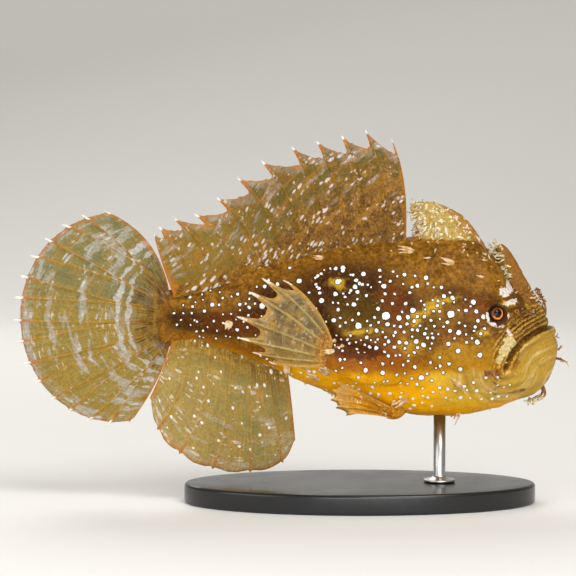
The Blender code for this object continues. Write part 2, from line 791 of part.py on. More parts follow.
def pectoral(word, side, clearance):
    """The jointed arm and the hand-like fin on its end."""
    corners = [mirrored(p, side) for p in ARM_PATH]
    steps = 9
    places = [(len(corners) - 1) * i / steps for i in range(steps + 1)]
    path = [Vector(spline(corners, p)) for p in places]
    heights = [spline([(h,) for h in ARM_HALF_HEIGHT], p)[0] for p in places]
    depths = [spline([(d,) for d in ARM_HALF_DEPTH], p)[0] for p in places]
    arm = loft(f"pectoral_arm_{word}", tube_rings(path, list(zip(heights, depths)), Vector((0, 0, 1)), 14))
    carved(arm, clearance)
    first, last = (mirrored(p, side) for p in HAND_ROOTS)
    tilt = 0.0 if side < 0 else HAND_TILT
    rays = []
    for i, place in enumerate(HAND_TIPS):
        share = i / (len(HAND_TIPS) - 1)
        root = first.lerp(last, share)
        tip = mirrored(place, side) + Vector((0, side * tilt, -tilt))
        bow = mirrored(HAND_BOW_FIRST, -side) * (1 - share) ** HAND_BOW_POWER
        bow += mirrored(HAND_BOW_LAST, -side) * share
        rays.append(simple_ray(root, root.lerp(tip, 0.5) + bow, tip))
    look = FanLook(7, 1.25, ray_half=(0.75, 0.35), margins=(0.8, 0.76, 0.84), ray_width=0.6, flesh_power=3.0)
    fan(f"pectoral_fin_{word}", rays, look)


def pelvic(word, side, clearance):
    """Stalk and fan of a pelvic fin in one piece."""
    corners = [mirrored(p, side) for p in PELVIC_STALK]
    steps = 5
    places = [(len(corners) - 1) * i / steps for i in range(steps + 1)]
    path = [Vector(spline(corners, p)) for p in places]
    sizes = [
        [spline([(v,) for v in row], p)[0] for row in PELVIC_STALK_HALF]
        for p in places
    ]
    stalk = loft(f"pelvic_fin_{word}", tube_rings(path, sizes, Vector((0, 0, 1)), 12), "fin")
    first, last = (mirrored(p, side) for p in PELVIC_ROOTS)
    droop = 0.0 if side < 0 else PELVIC_DROOP
    rays = []
    for i, place in enumerate(PELVIC_TIPS):
        root = first.lerp(last, i / (len(PELVIC_TIPS) - 1)) + Vector((PELVIC_OVERLAP, 0, 0))
        tip = mirrored(place, side) - Vector((0, 0, droop))
        rays.append(simple_ray(root, root.lerp(tip, 0.5) + mirrored(PELVIC_BOW, -side), tip))
    look = FanLook(5, 0.9, ray_half=(0.6, 0.3), margins=(0.94, 0.93, 0.95), ray_width=0.5)
    spread = fan(f"pelvic_spread_{word}", rays, look)
    joined(stalk, [spread])
    carved(stalk, clearance)


def spine_blade(name, rows, fringe, clearance):
    """A flattened free spine in its skin, with a ragged fringe at its rear edge."""
    rings = []
    for i in range((len(rows) - 1) * SPINE_STEPS + 1):
        outer_x, outer_z, inner_x, inner_z, thick = spline(rows, i / SPINE_STEPS)
        outer, inner = Vector((outer_x, 0, outer_z)), Vector((inner_x, 0, inner_z))
        middle, reach = (outer + inner) / 2, (outer - inner) / 2
        rings.append([
            middle + reach * math.cos(a) + Vector((0, thick * math.sin(a), 0))
            for a in (2 * math.pi * k / ROD_RING_POINTS for k in range(ROD_RING_POINTS))
        ])
    blade = loft(name, rings)
    pieces = []
    for i, (x, z, length, forwards, sideways, upwards) in enumerate(fringe):
        lean = Vector((forwards, sideways, upwards)).normalized()
        pieces.append(flap(f"{name}_tag_{i}", Vector((x, 0, z)), lean, lean, length, FRINGE_WIDTH, 0.0))
    joined(blade, pieces)
    return carved(blade, clearance)


def lure(clearance):
    """The short first spine with its bait, lying back above the lip."""
    points = [Vector((x, 0, z)) for x, z in LURE_CURVE]
    path = [bezier(*points, k / LURE_STEPS) for k in range(LURE_STEPS + 1)]
    stem = loft("illicium", tube_rings(path, [(LURE_RADIUS, LURE_RADIUS)] * len(path), Vector((0, 1, 0)), 6))
    joined(stem, [ball("bait", points[-1], LURE_BULB, rows=5, count=8)])
    return carved(stem, clearance)


def stand():
    levels = (
        (BASE_BEVEL, 0.0),
        (0.0, BASE_BEVEL),
        (0.0, BASE_HEIGHT - BASE_BEVEL),
        (BASE_BEVEL, BASE_HEIGHT),
    )
    rings = [
        [
            Vector(((BASE_LENGTH / 2 - inset) * math.cos(a), (BASE_DEPTH / 2 - inset) * math.sin(a), level))
            for a in (2 * math.pi * k / BASE_POINTS for k in range(BASE_POINTS))
        ]
        for inset, level in levels
    ]
    loft("stand_base", rings, "base")
    top = profile_height(ROD_X, 2) - GAP
    foot = BASE_HEIGHT + GAP
    profile = (
        (COLLAR_RADIUS, foot),
        (COLLAR_RADIUS, foot + COLLAR_HEIGHT * COLLAR_EDGE_SHARE),
        (COLLAR_RADIUS * COLLAR_EDGE_SHARE, foot + COLLAR_HEIGHT),
        (ROD_RADIUS, foot + COLLAR_HEIGHT * COLLAR_TOP_SHARE),
        (ROD_RADIUS, top),
    )
    rings = [
        [
            Vector((ROD_X + radius * math.cos(a), radius * math.sin(a), level))
            for a in (2 * math.pi * k / ROD_POINTS for k in range(ROD_POINTS))
        ]
        for radius, level in profile
    ]
    loft("stand_rod", rings, "steel")


def main():
    for obj in list(bpy.data.objects):
        bpy.data.objects.remove(obj)
    source = body("flesh")
    skin = Skin(source)
    clearance = grown(source, "clearance")
    flesh(source, skin)
    eyes(skin)
    dorsal_fin(clearance)
    anal_fin(clearance)
    tail_fin(clearance)
    for word, side in SIDES.items():
        pectoral(word, side, clearance)
        pelvic(word, side, clearance)
    spine_blade("second_dorsal_spine", SECOND_SPINE, SECOND_SPINE_FRINGE, clearance)
    spine_blade("third_dorsal_spine", THIRD_SPINE, THIRD_SPINE_FRINGE, clearance)
    lure(clearance)
    stand()
    remove(clearance)


main()
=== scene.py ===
import math
import random

import bmesh
import bpy
import numpy as np
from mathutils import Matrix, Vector, noise
from mathutils.bvhtree import BVHTree
from mathutils.kdtree import KDTree


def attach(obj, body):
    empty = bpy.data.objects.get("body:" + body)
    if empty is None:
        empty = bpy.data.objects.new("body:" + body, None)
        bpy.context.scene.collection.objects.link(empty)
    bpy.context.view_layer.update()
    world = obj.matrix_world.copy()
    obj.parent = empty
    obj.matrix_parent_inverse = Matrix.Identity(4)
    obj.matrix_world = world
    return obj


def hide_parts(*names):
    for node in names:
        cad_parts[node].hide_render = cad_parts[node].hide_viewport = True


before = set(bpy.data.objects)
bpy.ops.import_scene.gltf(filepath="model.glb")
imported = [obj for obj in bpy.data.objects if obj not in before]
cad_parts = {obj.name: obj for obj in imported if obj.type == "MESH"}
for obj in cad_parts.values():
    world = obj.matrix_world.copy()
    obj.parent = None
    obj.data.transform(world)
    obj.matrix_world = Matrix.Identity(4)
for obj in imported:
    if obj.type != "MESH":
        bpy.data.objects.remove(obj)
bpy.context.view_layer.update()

# All shapes are worked out in millimetres and turned to metres when they are finished
metre = 0.001
sides = {"Right": -1, "Left": 1}  # the fish's right side faces -Y


# Shared helpers

def toLinear(hexColour):
    parts = [int(hexColour[i:i + 2], 16) / 255 for i in (1, 3, 5)]
    return tuple(c / 12.92 if c <= 0.04045 else ((c + 0.055) / 1.055) ** 2.4 for c in parts) + (1.0,)


def perMetre(size):  # texture scale for a pattern of this size in mm
    return 1000 / size


def addNode(tree, kind, inputs=(), stops=(), **settings):
    # inputs go in order, or by name from a dictionary: a node or a socket is linked, anything else is the
    # value; stops fill a colour ramp
    made = tree.nodes.new(kind)
    for name, value in settings.items():
        setattr(made, name, value)
    for socket, value in inputs.items() if isinstance(inputs, dict) else enumerate(inputs):
        if isinstance(value, bpy.types.Node):
            value = value.outputs[0]
        if isinstance(value, bpy.types.NodeSocket):
            tree.links.new(value, made.inputs[socket])
        else:
            made.inputs[socket].default_value = value
    if stops:
        band = made.color_ramp.elements
        while len(band) < len(stops):
            band.new(1.0)
        for element, (place, hexColour) in zip(band, stops):
            element.position = place
            element.color = toLinear(hexColour)
    return made


def newMaterial(name):
    made = bpy.data.materials.new(name)
    made.use_nodes = True
    made.node_tree.nodes.clear()
    coords = addNode(made.node_tree, "ShaderNodeTexCoord").outputs["Object"]
    return made, made.node_tree, coords


def spline(rows, place):
    last = len(rows) - 1
    first = min(int(place), last - 1)
    f = place - first
    a, b, c, d = (rows[min(max(first + k, 0), last)] for k in (-1, 0, 1, 2))
    return [
        0.5 * (2 * q + (r - p) * f + (2 * p - 5 * q + 4 * r - s) * f * f + (3 * q - p - 3 * r + s) * f ** 3)
        for p, q, r, s in zip(a, b, c, d)
    ]


def sampled(rows, steps):  # the spline through the rows, at even steps from the first to the last
    return [spline(rows, (len(rows) - 1) * i / steps) for i in range(steps + 1)]


def bezier(start, bend, end, t):
    return start * (1 - t) ** 2 + bend * (2 * t * (1 - t)) + end * t * t


def smoothStep(low, high, value):
    t = np.clip((value - low) / (high - low), 0, 1)
    return t * t * (3 - 2 * t)


def turns(count):  # angles of a full circle
    return [2 * math.pi * k / count for k in range(count)]


def quarter(steps):  # angles of a quarter circle, both ends included
    return [math.radians(90 / steps * k) for k in range(steps + 1)]


def oval(centre, first, second, wide, deep, count):
    return [centre + first * (wide * math.cos(a)) + second * (deep * math.sin(a)) for a in turns(count)]


def mirrored(points, side):  # points given for the right side, moved to the side that is asked for
    return [Vector((x, y * -side, z)) for x, y, z in points]


def loft(rings):
    count = len(rings[0])
    points = [tuple(p) for ring in rings for p in ring]
    faces = []
    for i in range(len(rings) - 1):
        for k in range(count):
            n = (k + 1) % count
            faces.append((i * count + k, i * count + n, (i + 1) * count + n, (i + 1) * count + k))
    for i in (0, len(rings) - 1):
        centre = len(points)
        points.append(tuple(sum((Vector(p) for p in rings[i]), Vector()) / count))
        faces += [(i * count + k, i * count + (k + 1) % count, centre) for k in range(count)]
    return points, faces


def tube(path, sizes, side, count):
    rings = []
    for i, centre in enumerate(path):
        before, after = path[max(i - 1, 0)], path[min(i + 1, len(path) - 1)]
        along = (after - before).normalized()
        first = (side - along * side.dot(along)).normalized()
        rings.append(oval(centre, first, along.cross(first), *sizes[i], count))
    return loft(rings)


def limb(sections, steps, count, side):  # sections of x, y, z, half height and half depth, on the right side
    rows = sampled(sections, steps)
    path = mirrored([row[:3] for row in rows], side)
    return tube(path, [row[3:] for row in rows], Vector((0, 0, 1)), count)


def merged(shells):
    points, faces = [], []
    for shellPoints, shellFaces in shells:
        start = len(points)
        points += shellPoints
        faces += [tuple(start + v for v in face) for face in shellFaces]
    return points, faces


def meshFrom(name, points, faces):
    mesh = bpy.data.meshes.new(name)
    mesh.from_pydata([tuple(p) for p in points], [], faces)
    work = bmesh.new()
    work.from_mesh(mesh)
    bmesh.ops.recalc_face_normals(work, faces=work.faces)
    work.to_mesh(mesh)
    work.free()
    return mesh


def inScene(name, data):
    made = bpy.data.objects.new(name, data)
    bpy.context.scene.collection.objects.link(made)
    return made


def evaluated(piece):  # a plain mesh of the piece as its modifiers make it; the piece itself goes
    graph = bpy.context.evaluated_depsgraph_get()
    mesh = bpy.data.meshes.new_from_object(piece.evaluated_get(graph))
    bpy.data.objects.remove(piece)
    return mesh


def finished(name, mesh, material, nodes=()):
    places, _ = arrays(mesh)
    setPlaces(mesh, places * metre)
    mesh.materials.clear()
    mesh.materials.append(material)
    mesh.shade_smooth()
    piece = inScene(name, mesh)
    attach(piece, "root")
    if nodes:
        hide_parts(*nodes)
    print("made", name, len(mesh.polygons), "faces")


def fromShells(name, shells, material, nodes=()):
    finished(name, meshFrom(name, *merged(shells)), material, nodes)


def arrays(mesh):
    count = len(mesh.vertices)
    places, normals = np.empty(count * 3), np.empty(count * 3)
    mesh.vertices.foreach_get("co", places)
    mesh.vertex_normals.foreach_get("vector", normals)
    return places.reshape(-1, 3), normals.reshape(-1, 3)


def setPlaces(mesh, places):
    mesh.vertices.foreach_set("co", places.ravel())
    mesh.update()


def storeMask(mesh, name, values):
    layer = mesh.attributes.new(name, "FLOAT", "POINT")
    layer.data.foreach_set("value", np.asarray(values, dtype=np.float32))


def relaxed(mesh, times, factor):
    edges = np.empty(len(mesh.edges) * 2, dtype=np.int64)
    mesh.edges.foreach_get("vertices", edges)
    a, b = edges.reshape(-1, 2).T
    places, _ = arrays(mesh)
    share = np.bincount(a, minlength=len(places)) + np.bincount(b, minlength=len(places))
    for step in range(times * 2):
        total = np.zeros_like(places)
        for axis in range(3):
            total[:, axis] += np.bincount(a, places[b, axis], len(places))
            total[:, axis] += np.bincount(b, places[a, axis], len(places))
        pull = factor if step % 2 == 0 else -factor * 0.93  # the second pass keeps the volume
        places = places + (total / share[:, None] - places) * pull
    setPlaces(mesh, places)


# Body: slanting cross-sections from the tail root to the mouth, as in the solids, but for the first,
# which lets the flesh taper into the root of the tail fin

body = {
    # top x, top z, bottom x, bottom z, half width, level of the widest point, keel power
    "sections": (
        (-51.4, 52.6, -51.4, 39.6, 0.5, 0.50, 1.0),
        (-48.7, 53.2, -48.7, 38.8, 1.9, 0.50, 1.0),
        (-42.5, 53.8, -41.5, 40.4, 3.0, 0.50, 1.0),
        (-34.5, 56.4, -33.6, 38.3, 4.5, 0.48, 1.1),
        (-25.0, 59.8, -25.5, 35.4, 6.6, 0.46, 1.25),
        (-13.0, 63.5, -14.0, 30.2, 9.0, 0.45, 1.35),
        (0.0, 65.7, 0.0, 24.8, 11.2, 0.44, 1.35),
        (12.0, 66.5, 11.5, 22.3, 12.6, 0.44, 1.3),
        (21.5, 67.5, 21.0, 21.8, 13.1, 0.44, 1.15),
        (28.6, 66.6, 29.5, 22.7, 12.9, 0.45, 1.0),
        (33.0, 62.0, 37.0, 24.7, 12.2, 0.48, 0.95),
        (36.8, 55.9, 43.0, 27.3, 10.9, 0.50, 0.9),
        (41.0, 50.7, 47.4, 31.7, 8.9, 0.52, 0.85),
        (44.4, 47.6, 49.3, 37.2, 6.9, 0.52, 0.8),
        (46.0, 46.0, 49.1, 41.2, 4.8, 0.50, 0.8),
        (46.6, 45.0, 47.9, 43.4, 2.4, 0.50, 0.8),
    ),
    # x, z, height and reach of the swellings at the eye, the jaw and the shoulder of the arm
    "swellings": ((33.1, 48.4, 0.9, 4.5), (30.0, 34.0, 0.8, 9.0), (9.0, 36.0, 0.8, 6.0)),
    "bellyPower": 0.85,
    "spanSteps": 10,
    "ringPoints": 120,
    "voxel": 0.375,
    "smoothing": (6, 0.55),  # times, share of the way
    "mouth": (
        (51.0, 45.6), (49.0, 45.2), (46.5, 44.4), (44.0, 43.7), (41.5, 42.5),
        (39.1, 40.8), (37.3, 38.7), (36.0, 36.3), (35.4, 34.4),
    ),
    "eye": (33.1, 48.1),
    "eyeRadius": 2.2,
    "eyeSunk": 1.25,
}
lastRising = 12.0  # up to this section both profiles run forwards


def bodyRing(place):
    topX, topZ, lowX, lowZ, wide, level, keel = spline(body["sections"], place)
    ring = []
    for angle in turns(body["ringPoints"]):
        up, out = math.cos(angle), math.sin(angle)
        share = level + up * (1 - level if up > 0 else level)
        x, z = lowX + (topX - lowX) * share, lowZ + (topZ - lowZ) * share
        swell = sum(h * math.exp(-((x - a) ** 2 + (z - b) ** 2) / s ** 2) for a, b, h, s in body["swellings"])
        bulge = (wide + swell) * abs(out) ** (keel if up > 0 else body["bellyPower"])
        ring.append(Vector((x, math.copysign(bulge, out), z)))
    return ring


def profileHeight(x, column):
    low, high = 0.0, lastRising
    for _ in range(24):
        middle = (low + high) / 2
        if spline(body["sections"], middle)[column] < x:
            low = middle
        else:
            high = middle
    return spline(body["sections"], low)[column + 1]


def bodyShell():
    steps = body["spanSteps"]
    return loft([bodyRing(i / steps) for i in range((len(body["sections"]) - 1) * steps + 1)])


# Arms of the pectoral fins and the free spines of the head, fused into the skin

arm = {
    # x, y, z, half height and half depth, from inside the flank to the wrist
    "sections": (
        (12.0, -8.0, 35.6, 5.0, 3.0),
        (3.0, -13.6, 34.9, 4.3, 2.6),
        (-3.5, -15.8, 36.6, 3.8, 2.0),
        (-8.2, -16.9, 38.8, 3.2, 1.2),
    ),
    "steps": 24,
    "ringPoints": 32,
}
spines = {
    # outer edge x, z, inner edge x, z, half thickness
    "second": (
        (46.6, 47.0, 41.4, 46.0, 2.1),
        (45.4, 49.9, 40.4, 48.5, 2.2),
        (43.6, 52.8, 38.6, 51.2, 2.1),
        (41.2, 56.6, 36.6, 54.6, 1.8),
        (38.8, 60.6, 34.8, 59.2, 1.5),
        (36.9, 63.5, 33.9, 62.6, 1.2),
        (35.4, 64.8, 33.7, 64.2, 0.8),
    ),
    "third": (
        (31.2, 65.0, 27.6, 60.0, 2.8),
        (26.8, 70.7, 22.8, 63.0, 3.3),
        (22.3, 73.5, 19.0, 64.0, 3.0),
        (18.3, 75.1, 16.2, 65.0, 2.3),
        (14.7, 75.4, 14.9, 66.8, 1.6),
        (12.3, 74.0, 13.7, 69.8, 1.0),
    ),
}


def armShell(side):
    return limb(arm["sections"], arm["steps"], arm["ringPoints"], side)


def spineShell(rows, steps=8, count=32):
    rings = []
    for outerX, outerZ, innerX, innerZ, thick in sampled(rows, (len(rows) - 1) * steps):
        outer, inner = Vector((outerX, 0, outerZ)), Vector((innerX, 0, innerZ))
        rings.append(oval((outer + inner) / 2, (outer - inner) / 2, Vector((0, 1, 0)), 1.0, thick, count))
    return loft(rings)


def lineDistance(places, line):  # positive above the line, negative below it
    x, z = places[:, 0], places[:, 2]
    best = np.full(len(x), 1e9)
    signed = np.zeros(len(x))
    for (ax, az), (bx, bz) in zip(line, line[1:]):
        dx, dz = bx - ax, bz - az
        t = np.clip(((x - ax) * dx + (z - az) * dz) / (dx * dx + dz * dz), 0, 1)
        away = np.hypot(x - ax - dx * t, z - az - dz * t)
        cross = dx * (z - az) - dz * (x - ax)
        near = away < best
        best = np.where(near, away, best)
        signed = np.where(near, np.where(cross < 0, away, -away), signed)
    return signed


def blobs(places, rows):  # soft ellipses on both flanks
    x, z = places[:, 0], places[:, 2]
    total = np.zeros(len(x))
    for cx, cz, rx, rz, turn in rows:
        c, s = math.cos(math.radians(turn)), math.sin(math.radians(turn))
        u, v = ((x - cx) * c + (z - cz) * s) / rx, ((z - cz) * c - (x - cx) * s) / rz
        total = np.maximum(total, np.exp(-(u * u + v * v)))
    return total


def noiseAt(places, size, octaves, seed):
    return np.array([
        noise.fractal(Vector((x / size + seed, y / size, z / size)), 0.6, 2.0, octaves)
        for x, y, z in places
    ])


class SkinSurface:
    def __init__(self, points, faces):
        self.tree = BVHTree.FromPolygons(points, faces)

    def hit(self, x, z, side):
        place, normal, _, _ = self.tree.ray_cast(Vector((x, side * 60.0, z)), Vector((0, -side, 0)))
        if place is None:
            return None
        return place, normal if normal.y * side > 0 else -normal

    def near(self, point):
        place, normal, _, _ = self.tree.find_nearest(Vector(point))
        return place, normal


# White pearly spots: the largest are placed, the rest thrown at random into fields of the flank

mainSpots = (
    # x, z, radius
    (-15.3, 55.8, 0.65), (-10.9, 61.2, 0.42), (-17.6, 59.0, 0.42), (-4.4, 59.1, 0.62), (0.6, 57.6, 0.55),
    (5.6, 54.7, 0.65), (15.9, 56.8, 0.58), (12.6, 48.9, 0.68), (21.9, 48.0, 0.95), (-1.8, 50.2, 0.58),
    (-9.8, 51.1, 0.65), (-6.7, 46.3, 0.6), (-0.7, 45.0, 0.8), (6.0, 47.5, 1.05), (9.2, 47.0, 0.65),
    (14.7, 32.3, 0.72), (23.6, 39.0, 0.6), (15.2, 40.5, 0.62), (24.2, 34.5, 0.55), (13.1, 35.0, 0.5),
    (23.8, 43.5, 0.66), (0.9, 34.6, 0.58), (5.1, 33.8, 0.58), (27.4, 50.9, 0.62), (29.8, 47.4, 0.66),
    (28.3, 41.2, 0.62), (29.0, 38.0, 0.6), (-24.4, 49.6, 0.8), (-36.8, 49.8, 0.55), (-30.6, 43.6, 0.45),
)
spotFields = {
    # centre x, z, half length, half height, how many, smallest radius, largest radius
    "flank": (5.0, 49.5, 19.0, 10.0, 84, 0.26, 0.52),
    "midFlank": (9.5, 43.0, 9.5, 5.5, 46, 0.28, 0.6),
    "cheek": (23.5, 46.0, 7.0, 6.5, 24, 0.26, 0.52),
    "tailRoot": (-34.0, 47.0, 13.0, 6.5, 52, 0.22, 0.46),
    "behindHand": (-22.0, 48.0, 8.0, 9.0, 22, 0.26, 0.46),
    "axil": (0.5, 40.6, 8.0, 1.9, 16, 0.24, 0.42),
    "lowerFlank": (8.0, 34.5, 17.0, 4.5, 30, 0.25, 0.46),
    "belly": (8.0, 28.0, 22.0, 4.0, 46, 0.34, 0.6),
    "rearBelly": (-20.0, 34.5, 12.0, 4.0, 32, 0.28, 0.52),
    "throat": (30.0, 29.5, 9.0, 3.5, 14, 0.32, 0.52),
}
spotRules = {
    "tries": 12,
    "gap": 0.55,  # clear skin between two spots, times a share drawn anew for each pair
    "gapShares": (0.3, 1.9),
    "smallness": 1.6,  # above 1, small spots are the more common ones
    "offEye": 4.0,
    "rearOf": 37.0,
    # nothing is thrown above this line
    "ceiling": (
        (-50, 53.5), (-30, 57), (-12, 61.3), (8, 58.5), (16, 57.8), (28, 53.5), (34, 51.5), (50, 47),
    ),
}
eyeSpot = {
    "centre": (-6.0, 55.4), "across": (5.6, 3.4), "ringSpots": 34,
    "strayTurn": 0.16, "strayX": (0.82, 1.14), "strayZ": (0.74, 1.12),  # round the ring and across it
    "crowdTurn": 0.7,  # turns the two crowded ends of the ring
    "radius": (0.24, 0.4, 0.22),  # smallest, largest and how much larger where they crowd
    "middles": ((0.3, 0.3, 0.7), (0.9, 0.6, 0.35)),  # x and z from the centre, radius
    "clear": 0.4, "clearLonger": 1.5,  # no thrown spot in this margin round it, an oval
}


def eyeSpotRing(draw):
    (x, z), (wide, high), stray = eyeSpot["centre"], eyeSpot["across"], eyeSpot["strayTurn"]
    small, large, larger = eyeSpot["radius"]
    placed = []
    for turn in turns(eyeSpot["ringSpots"]):
        angle = turn + draw.uniform(-stray, stray)
        px = x + wide * math.cos(angle) * draw.uniform(*eyeSpot["strayX"])
        pz = z + high * math.sin(angle) * draw.uniform(*eyeSpot["strayZ"])
        crowded = 0.5 + 0.5 * math.cos(angle + eyeSpot["crowdTurn"]) ** 2
        if draw.random() < crowded:
            placed.append((px, pz, draw.uniform(small, large + larger * crowded)))
    return placed + [(x + dx, z + dz, size) for dx, dz, size in eyeSpot["middles"]]


def allowed(x, z):  # below the ceiling, off the eye spot and the eye, and behind the snout
    (spotX, spotZ), (eyeX, eyeZ), longer = eyeSpot["centre"], body["eye"], eyeSpot["clearLonger"]
    offSpot = math.hypot((x - spotX) / longer, z - spotZ) >= eyeSpot["across"][1] + eyeSpot["clear"]
    offEye = math.hypot(x - eyeX, z - eyeZ) >= spotRules["offEye"] and x <= spotRules["rearOf"]
    return offSpot and offEye and z <= np.interp(x, *zip(*spotRules["ceiling"]))


def throwSpots(surface, side, seed):
    draw = random.Random(seed)
    placed = list(mainSpots) + eyeSpotRing(draw)
    gap, shares = spotRules["gap"], spotRules["gapShares"]
    for x, z, longer, higher, count, small, large in spotFields.values():
        for _ in range(count):
            for _ in range(spotRules["tries"]):
                angle, reach = draw.uniform(0, 2 * math.pi), math.sqrt(draw.random())
                px, pz = x + longer * reach * math.cos(angle), z + higher * reach * math.sin(angle)
                size = small + (large - small) * draw.random() ** spotRules["smallness"]
                if not allowed(px, pz):
                    continue
                if all(
                    math.hypot(px - a, pz - b) > size + c + gap * draw.uniform(*shares) for a, b, c in placed
                ):
                    placed.append((px, pz, size))
                    break
    hits = [(surface.hit(x, z, side), size) for x, z, size in placed]
    return [(spot[0], size) for spot, size in hits if spot]


def nearestSpots(places, spots):
    tree = KDTree(len(spots))
    for i, (place, _) in enumerate(spots):
        tree.insert(place, i)
    tree.balance()
    picks = np.zeros(len(places), dtype=int)
    clear = np.zeros(len(places))
    for i, place in enumerate(places):
        clear[i], picks[i] = min((away - spots[index][1], index) for _, index, away in tree.find_n(place, 3))
    return picks, clear


# Colour zones of the side, in millimetres: centre x, z, half length, half height, turn in degrees

zones = {
    "darkZone": (
        (-4.0, 54.5, 15.0, 7.0, 4), (3.5, 51.0, 13.0, 5.0, 0), (-9.5, 45.5, 3.5, 8.0, 10),
        (-24.0, 46.0, 10.0, 4.0, -6), (-36.0, 45.0, 12.0, 3.4, -6), (-20.0, 52.0, 8.0, 4.0, 8),
        (-14.0, 47.0, 4.0, 6.0, 0), (-43.5, 46.0, 6.0, 3.4, -4),
    ),
    "cheekZone": (
        (23.5, 52.5, 7.0, 3.0, -8), (27.0, 44.0, 5.5, 3.0, -20), (41.5, 47.0, 5.0, 3.4, -30),
        (38.5, 50.5, 3.0, 3.0, 0), (31.0, 51.5, 4.0, 2.2, -20), (29.5, 38.5, 4.0, 3.0, 0),
        (45.4, 48.6, 2.6, 2.6, -30), (39.5, 44.5, 2.4, 2.0, 30),
    ),
    "goldZone": ((25.0, 38.0, 9.0, 4.6, 0), (31.5, 37.0, 5.0, 5.0, 10), (12.0, 39.5, 4.0, 2.6, 0)),
    "lemonZone": ((38.0, 31.0, 10.0, 4.0, 20), (27.0, 27.5, 11.0, 3.2, 6), (20.0, 32.0, 6.0, 2.2, 0)),
    "oliveZone": ((1.0, 48.0, 10.0, 6.0, 0), (16.5, 43.0, 5.0, 6.0, 0), (15.0, 36.5, 5.0, 4.0, 0)),
    "russetZone": (
        (8.0, 50.0, 4.0, 8.0, 20), (22.0, 42.0, 6.0, 3.5, -10), (-30.0, 45.0, 12.0, 3.5, -4),
        (28.0, 49.5, 4.5, 3.5, 0), (6.0, 41.5, 5.0, 1.6, 0),
    ),
    "yellowZone": (
        (16.6, 49.4, 5.2, 1.5, 32), (-6.0, 55.4, 2.7, 1.5, 0), (-1.0, 43.4, 5.5, 0.9, 8),
        (36.0, 50.4, 2.8, 1.2, 0), (13.2, 46.4, 2.0, 2.6, -20), (30.0, 43.5, 2.0, 1.2, 0),
        (45.0, 47.6, 2.2, 1.0, 30), (41.5, 49.5, 2.0, 0.8, -50), (21.5, 51.4, 3.2, 0.9, 8),
    ),
    "jawZone": (
        (45.0, 34.5, 5.0, 8.0, 14), (36.0, 30.0, 9.0, 4.5, 16), (27.0, 31.0, 7.0, 4.0, 8),
        (44.5, 40.0, 4.0, 2.0, 20),
    ),
    # painted shade in the crease where the arm meets the flank
    "axilShadeZone": ((-1.5, 39.4, 8.0, 2.6, -6), (-6.5, 42.0, 3.0, 2.2, -35)),
    "lilacZone": (
        (36.9, 54.8, 1.4, 2.8, -12), (35.4, 53.2, 1.6, 1.6, 0), (36.8, 50.8, 2.6, 0.8, 14),
        (30.8, 47.4, 0.6, 1.6, 8), (32.2, 45.5, 1.8, 0.6, -25), (34.4, 45.1, 1.0, 0.5, -20),
        (36.0, 47.6, 0.4, 1.0, 0), (36.2, 43.4, 0.6, 1.6, 24), (48.7, 40.2, 1.0, 3.2, 0),
    ),
    "buffZone": ((36.4, 41.2, 2.0, 1.8, 0), (35.2, 39.2, 1.7, 2.2, -20), (34.0, 37.0, 0.9, 1.6, -25)),
    "papillaZone": (
        (29.0, 62.0, 9.0, 3.0, -25), (37.0, 55.0, 3.0, 5.0, -30), (14.0, 66.0, 9.0, 2.0, 0),
        (-20.0, 61.0, 22.0, 2.0, 9), (42.0, 47.0, 4.0, 2.0, 0), (30.0, 34.0, 6.0, 3.0, 0),
        (3.0, 26.0, 22.0, 2.5, 0), (-22.0, 33.0, 12.0, 2.0, -18),
    ),
}


relief = {
    # push along the normal, where it is strongest, half width: above or below the mouth, and out from the eye
    "lips": ((-1.0, 0.0, 0.5), (0.6, 1.4, 0.75), (0.7, -1.35, 0.8), (-0.35, -2.9, 0.5)),
    "socket": ((0.75, 2.5, 0.6), (-0.3, 3.9, 0.5)),
    "socketDepth": 1.8, "socketHole": (1.35, 2.0),
    "face": (30, 34),  # x from which the lips rise
    # folds over the upper lip: push, waves a millimetre, size and strength of the noise that sways them,
    # where they start and end above the mouth, from which x and up to which z
    "folds": (0.24, 5.0), "foldSway": (3.0, 2.6),
    "foldStart": (1.9, 2.5), "foldEnd": (5.0, 7.5), "foldAhead": (33.5, 36), "foldTop": (45.5, 47.5),
    # folds of the throat: push and waves, round which point, up to which z
    "throat": (0.16, 2.6), "throatCentre": (36.0, 40.0), "throatTop": (31, 34), "throatTaller": 1.1,
    # push, size, octaves and seed of the soft dents and of the fine pebbling
    "loose": ((0.26, 7.0, 3, 0.0), (0.12, 1.7, 3, 3.0)),
    "spots": 0.12, "spotEdge": (-0.3, 0.1),
}


def ridges(away, rows):
    return sum(push * np.exp(-((away - middle) / half) ** 2) for push, middle, half in rows)


def fusedSkin(shells):  # one closed skin over all the shells
    piece = inScene("fishSkinWork", meshFrom("fishSkin", *merged(shells)))
    voxels = piece.modifiers.new("voxels", "REMESH")
    voxels.mode = "VOXEL"
    voxels.voxel_size = body["voxel"]
    voxels.adaptivity = 0.0
    mesh = evaluated(piece)
    mesh.name = "fishSkin"
    relaxed(mesh, *body["smoothing"])
    return mesh


